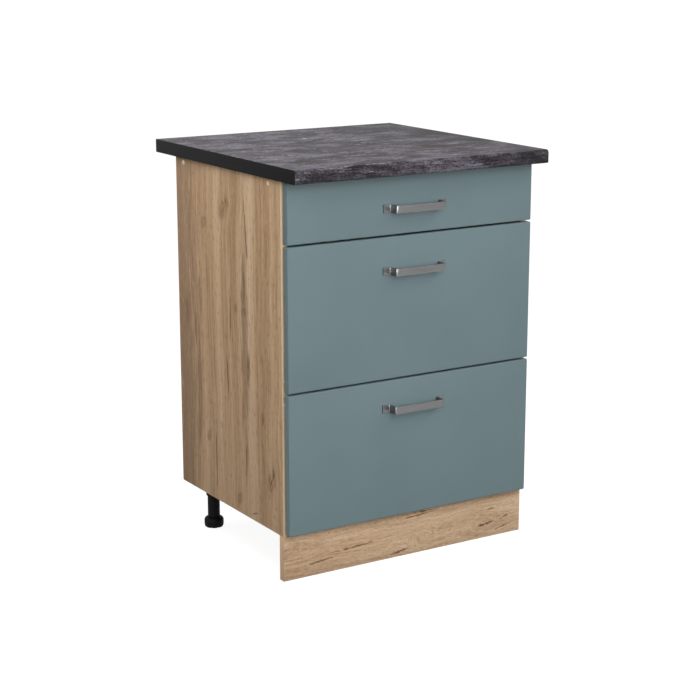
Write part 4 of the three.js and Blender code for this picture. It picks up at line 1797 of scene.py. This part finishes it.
@dataclass
class Studio:
    """The camera, the pale floor and the soft lights."""

    camera_place: Corner = (-1.9543, -3.1389, 1.2983)
    azimuth: float = -31.99
    elevation: float = 13.66
    lens: float = 89.5
    sensor: float = 36.0
    world_strength: float = 0.47
    floor_size: float = 80.0
    floor_colour: str = "#808080"
    floor_roughness: float = 0.9
    floor_glow: float = 0.92
    # A large soft key close in front, a little left of the middle, and a lamp high up behind for
    # the back panel's sake. A narrow upright strip glints down the handles' bends and the fronts'
    # left edges, and a level one along the worktop's rolled edge.
    lamps: tuple[Lamp, ...] = (
        Lamp("key", (-0.42, -2.3, 1.28), 28.0, 1.5, 1.4),
        Lamp("rear", (-1.0, 2.0, 2.9), 56.0, 2.0, 1.6),
        Lamp("upright_strip", (-2.6, -1.5, 0.8), 60.0, 0.12, 1.5, glints_only=True),
        Lamp("level_strip", (1.5, -2.1, 2.9), 16.0, 2.2, 0.2, (0.0, -0.3, 0.85)),
    )

    def camera(self) -> None:
        """The camera at the photograph's viewing angle."""
        data = bpy.data.cameras.new("camera")
        data.lens = self.lens
        data.sensor_width = self.sensor
        camera = link("camera", data)
        a, e = math.radians(self.azimuth), math.radians(self.elevation)
        back = Vector((math.sin(a) * math.cos(e), -math.cos(a) * math.cos(e), math.sin(e)))
        camera.location = self.camera_place
        camera.rotation_mode = "QUATERNION"
        camera.rotation_quaternion = (-back).to_track_quat("-Z", "Y")
        bpy.context.scene.camera = camera

    @staticmethod
    def seen(tree: Tree) -> Node:
        """1 for a ray from the camera, from a mirror or through a clear thing, else 0."""
        path = add_node(tree, "ShaderNodeLightPath")
        given = {0: path.outputs["Is Camera Ray"], 1: path.outputs["Is Transmission Ray"]}
        direct = add_node(tree, MATH, given, operation="MAXIMUM")
        given = {0: direct, 1: path.outputs["Is Glossy Ray"]}
        return add_node(tree, MATH, given, operation="MAXIMUM")

    def world(self) -> None:
        """Even light from all round, and white where it is looked at or mirrored."""
        world = bpy.data.worlds.new("studio")
        world.use_nodes = True
        tree = world.node_tree
        tree.nodes.clear()
        white = linear("#ffffff")
        light = {"Color": white, "Strength": self.world_strength}
        light = add_node(tree, "ShaderNodeBackground", light)
        backdrop = add_node(tree, "ShaderNodeBackground", {"Color": white, "Strength": 1.0})
        mix = add_node(tree, "ShaderNodeMixShader", {0: self.seen(tree), 1: light, 2: backdrop})
        add_node(tree, "ShaderNodeOutputWorld", {"Surface": mix})
        bpy.context.scene.world = world

    def floor(self) -> None:
        """A wide pale floor that keeps the cabinet's shadow."""
        half = self.floor_size / 2
        mesh = bpy.data.meshes.new("floor")
        outline = [(-half, -half, 0), (half, -half, 0), (half, half, 0), (-half, half, 0)]
        mesh.from_pydata(outline, [], [(0, 1, 2, 3)])
        material = bpy.data.materials.new("white_studio_floor")
        material.use_nodes = True
        tree = material.node_tree
        glow = {0: self.seen(tree), 1: self.floor_glow}
        given = {
            "Base Color": linear(self.floor_colour),
            "Roughness": self.floor_roughness,
            "Specular IOR Level": 0.0,
            "Emission Color": linear("#ffffff"),
            "Emission Strength": add_node(tree, MATH, glow, operation="MULTIPLY"),
        }
        feed(tree, tree.nodes["Principled BSDF"], given)
        mesh.materials.append(material)
        link("floor", mesh)

    def build(self) -> None:
        """Sets up the studio."""
        self.camera()
        self.world()
        self.floor()
        for lamp in self.lamps:
            lamp.build()
        bpy.context.scene.view_settings.view_transform = "Standard"


def corners(box: tuple[Vector, Vector]) -> list[list[float]]:
    """A box as plain lists of numbers."""
    return [list(corner) for corner in box]


def main() -> None:
    """Builds the cabinet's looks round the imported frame."""
    logging.basicConfig(level=logging.INFO, format="%(name)s: %(message)s")
    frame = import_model()
    Studio().build()
    fasteners = Fasteners()
    strip, thread = strip_tree(), thread_tree()
    Worktop().build()
    Carcass(fasteners).build()
    Plinth(fasteners).build(frame)
    for side in Side:
        Leg(side, fasteners, thread).build()
    for name in DRAWER_NAMES:
        Drawer(name, fasteners, strip).build(frame)


if __name__ == "__main__":
    main()
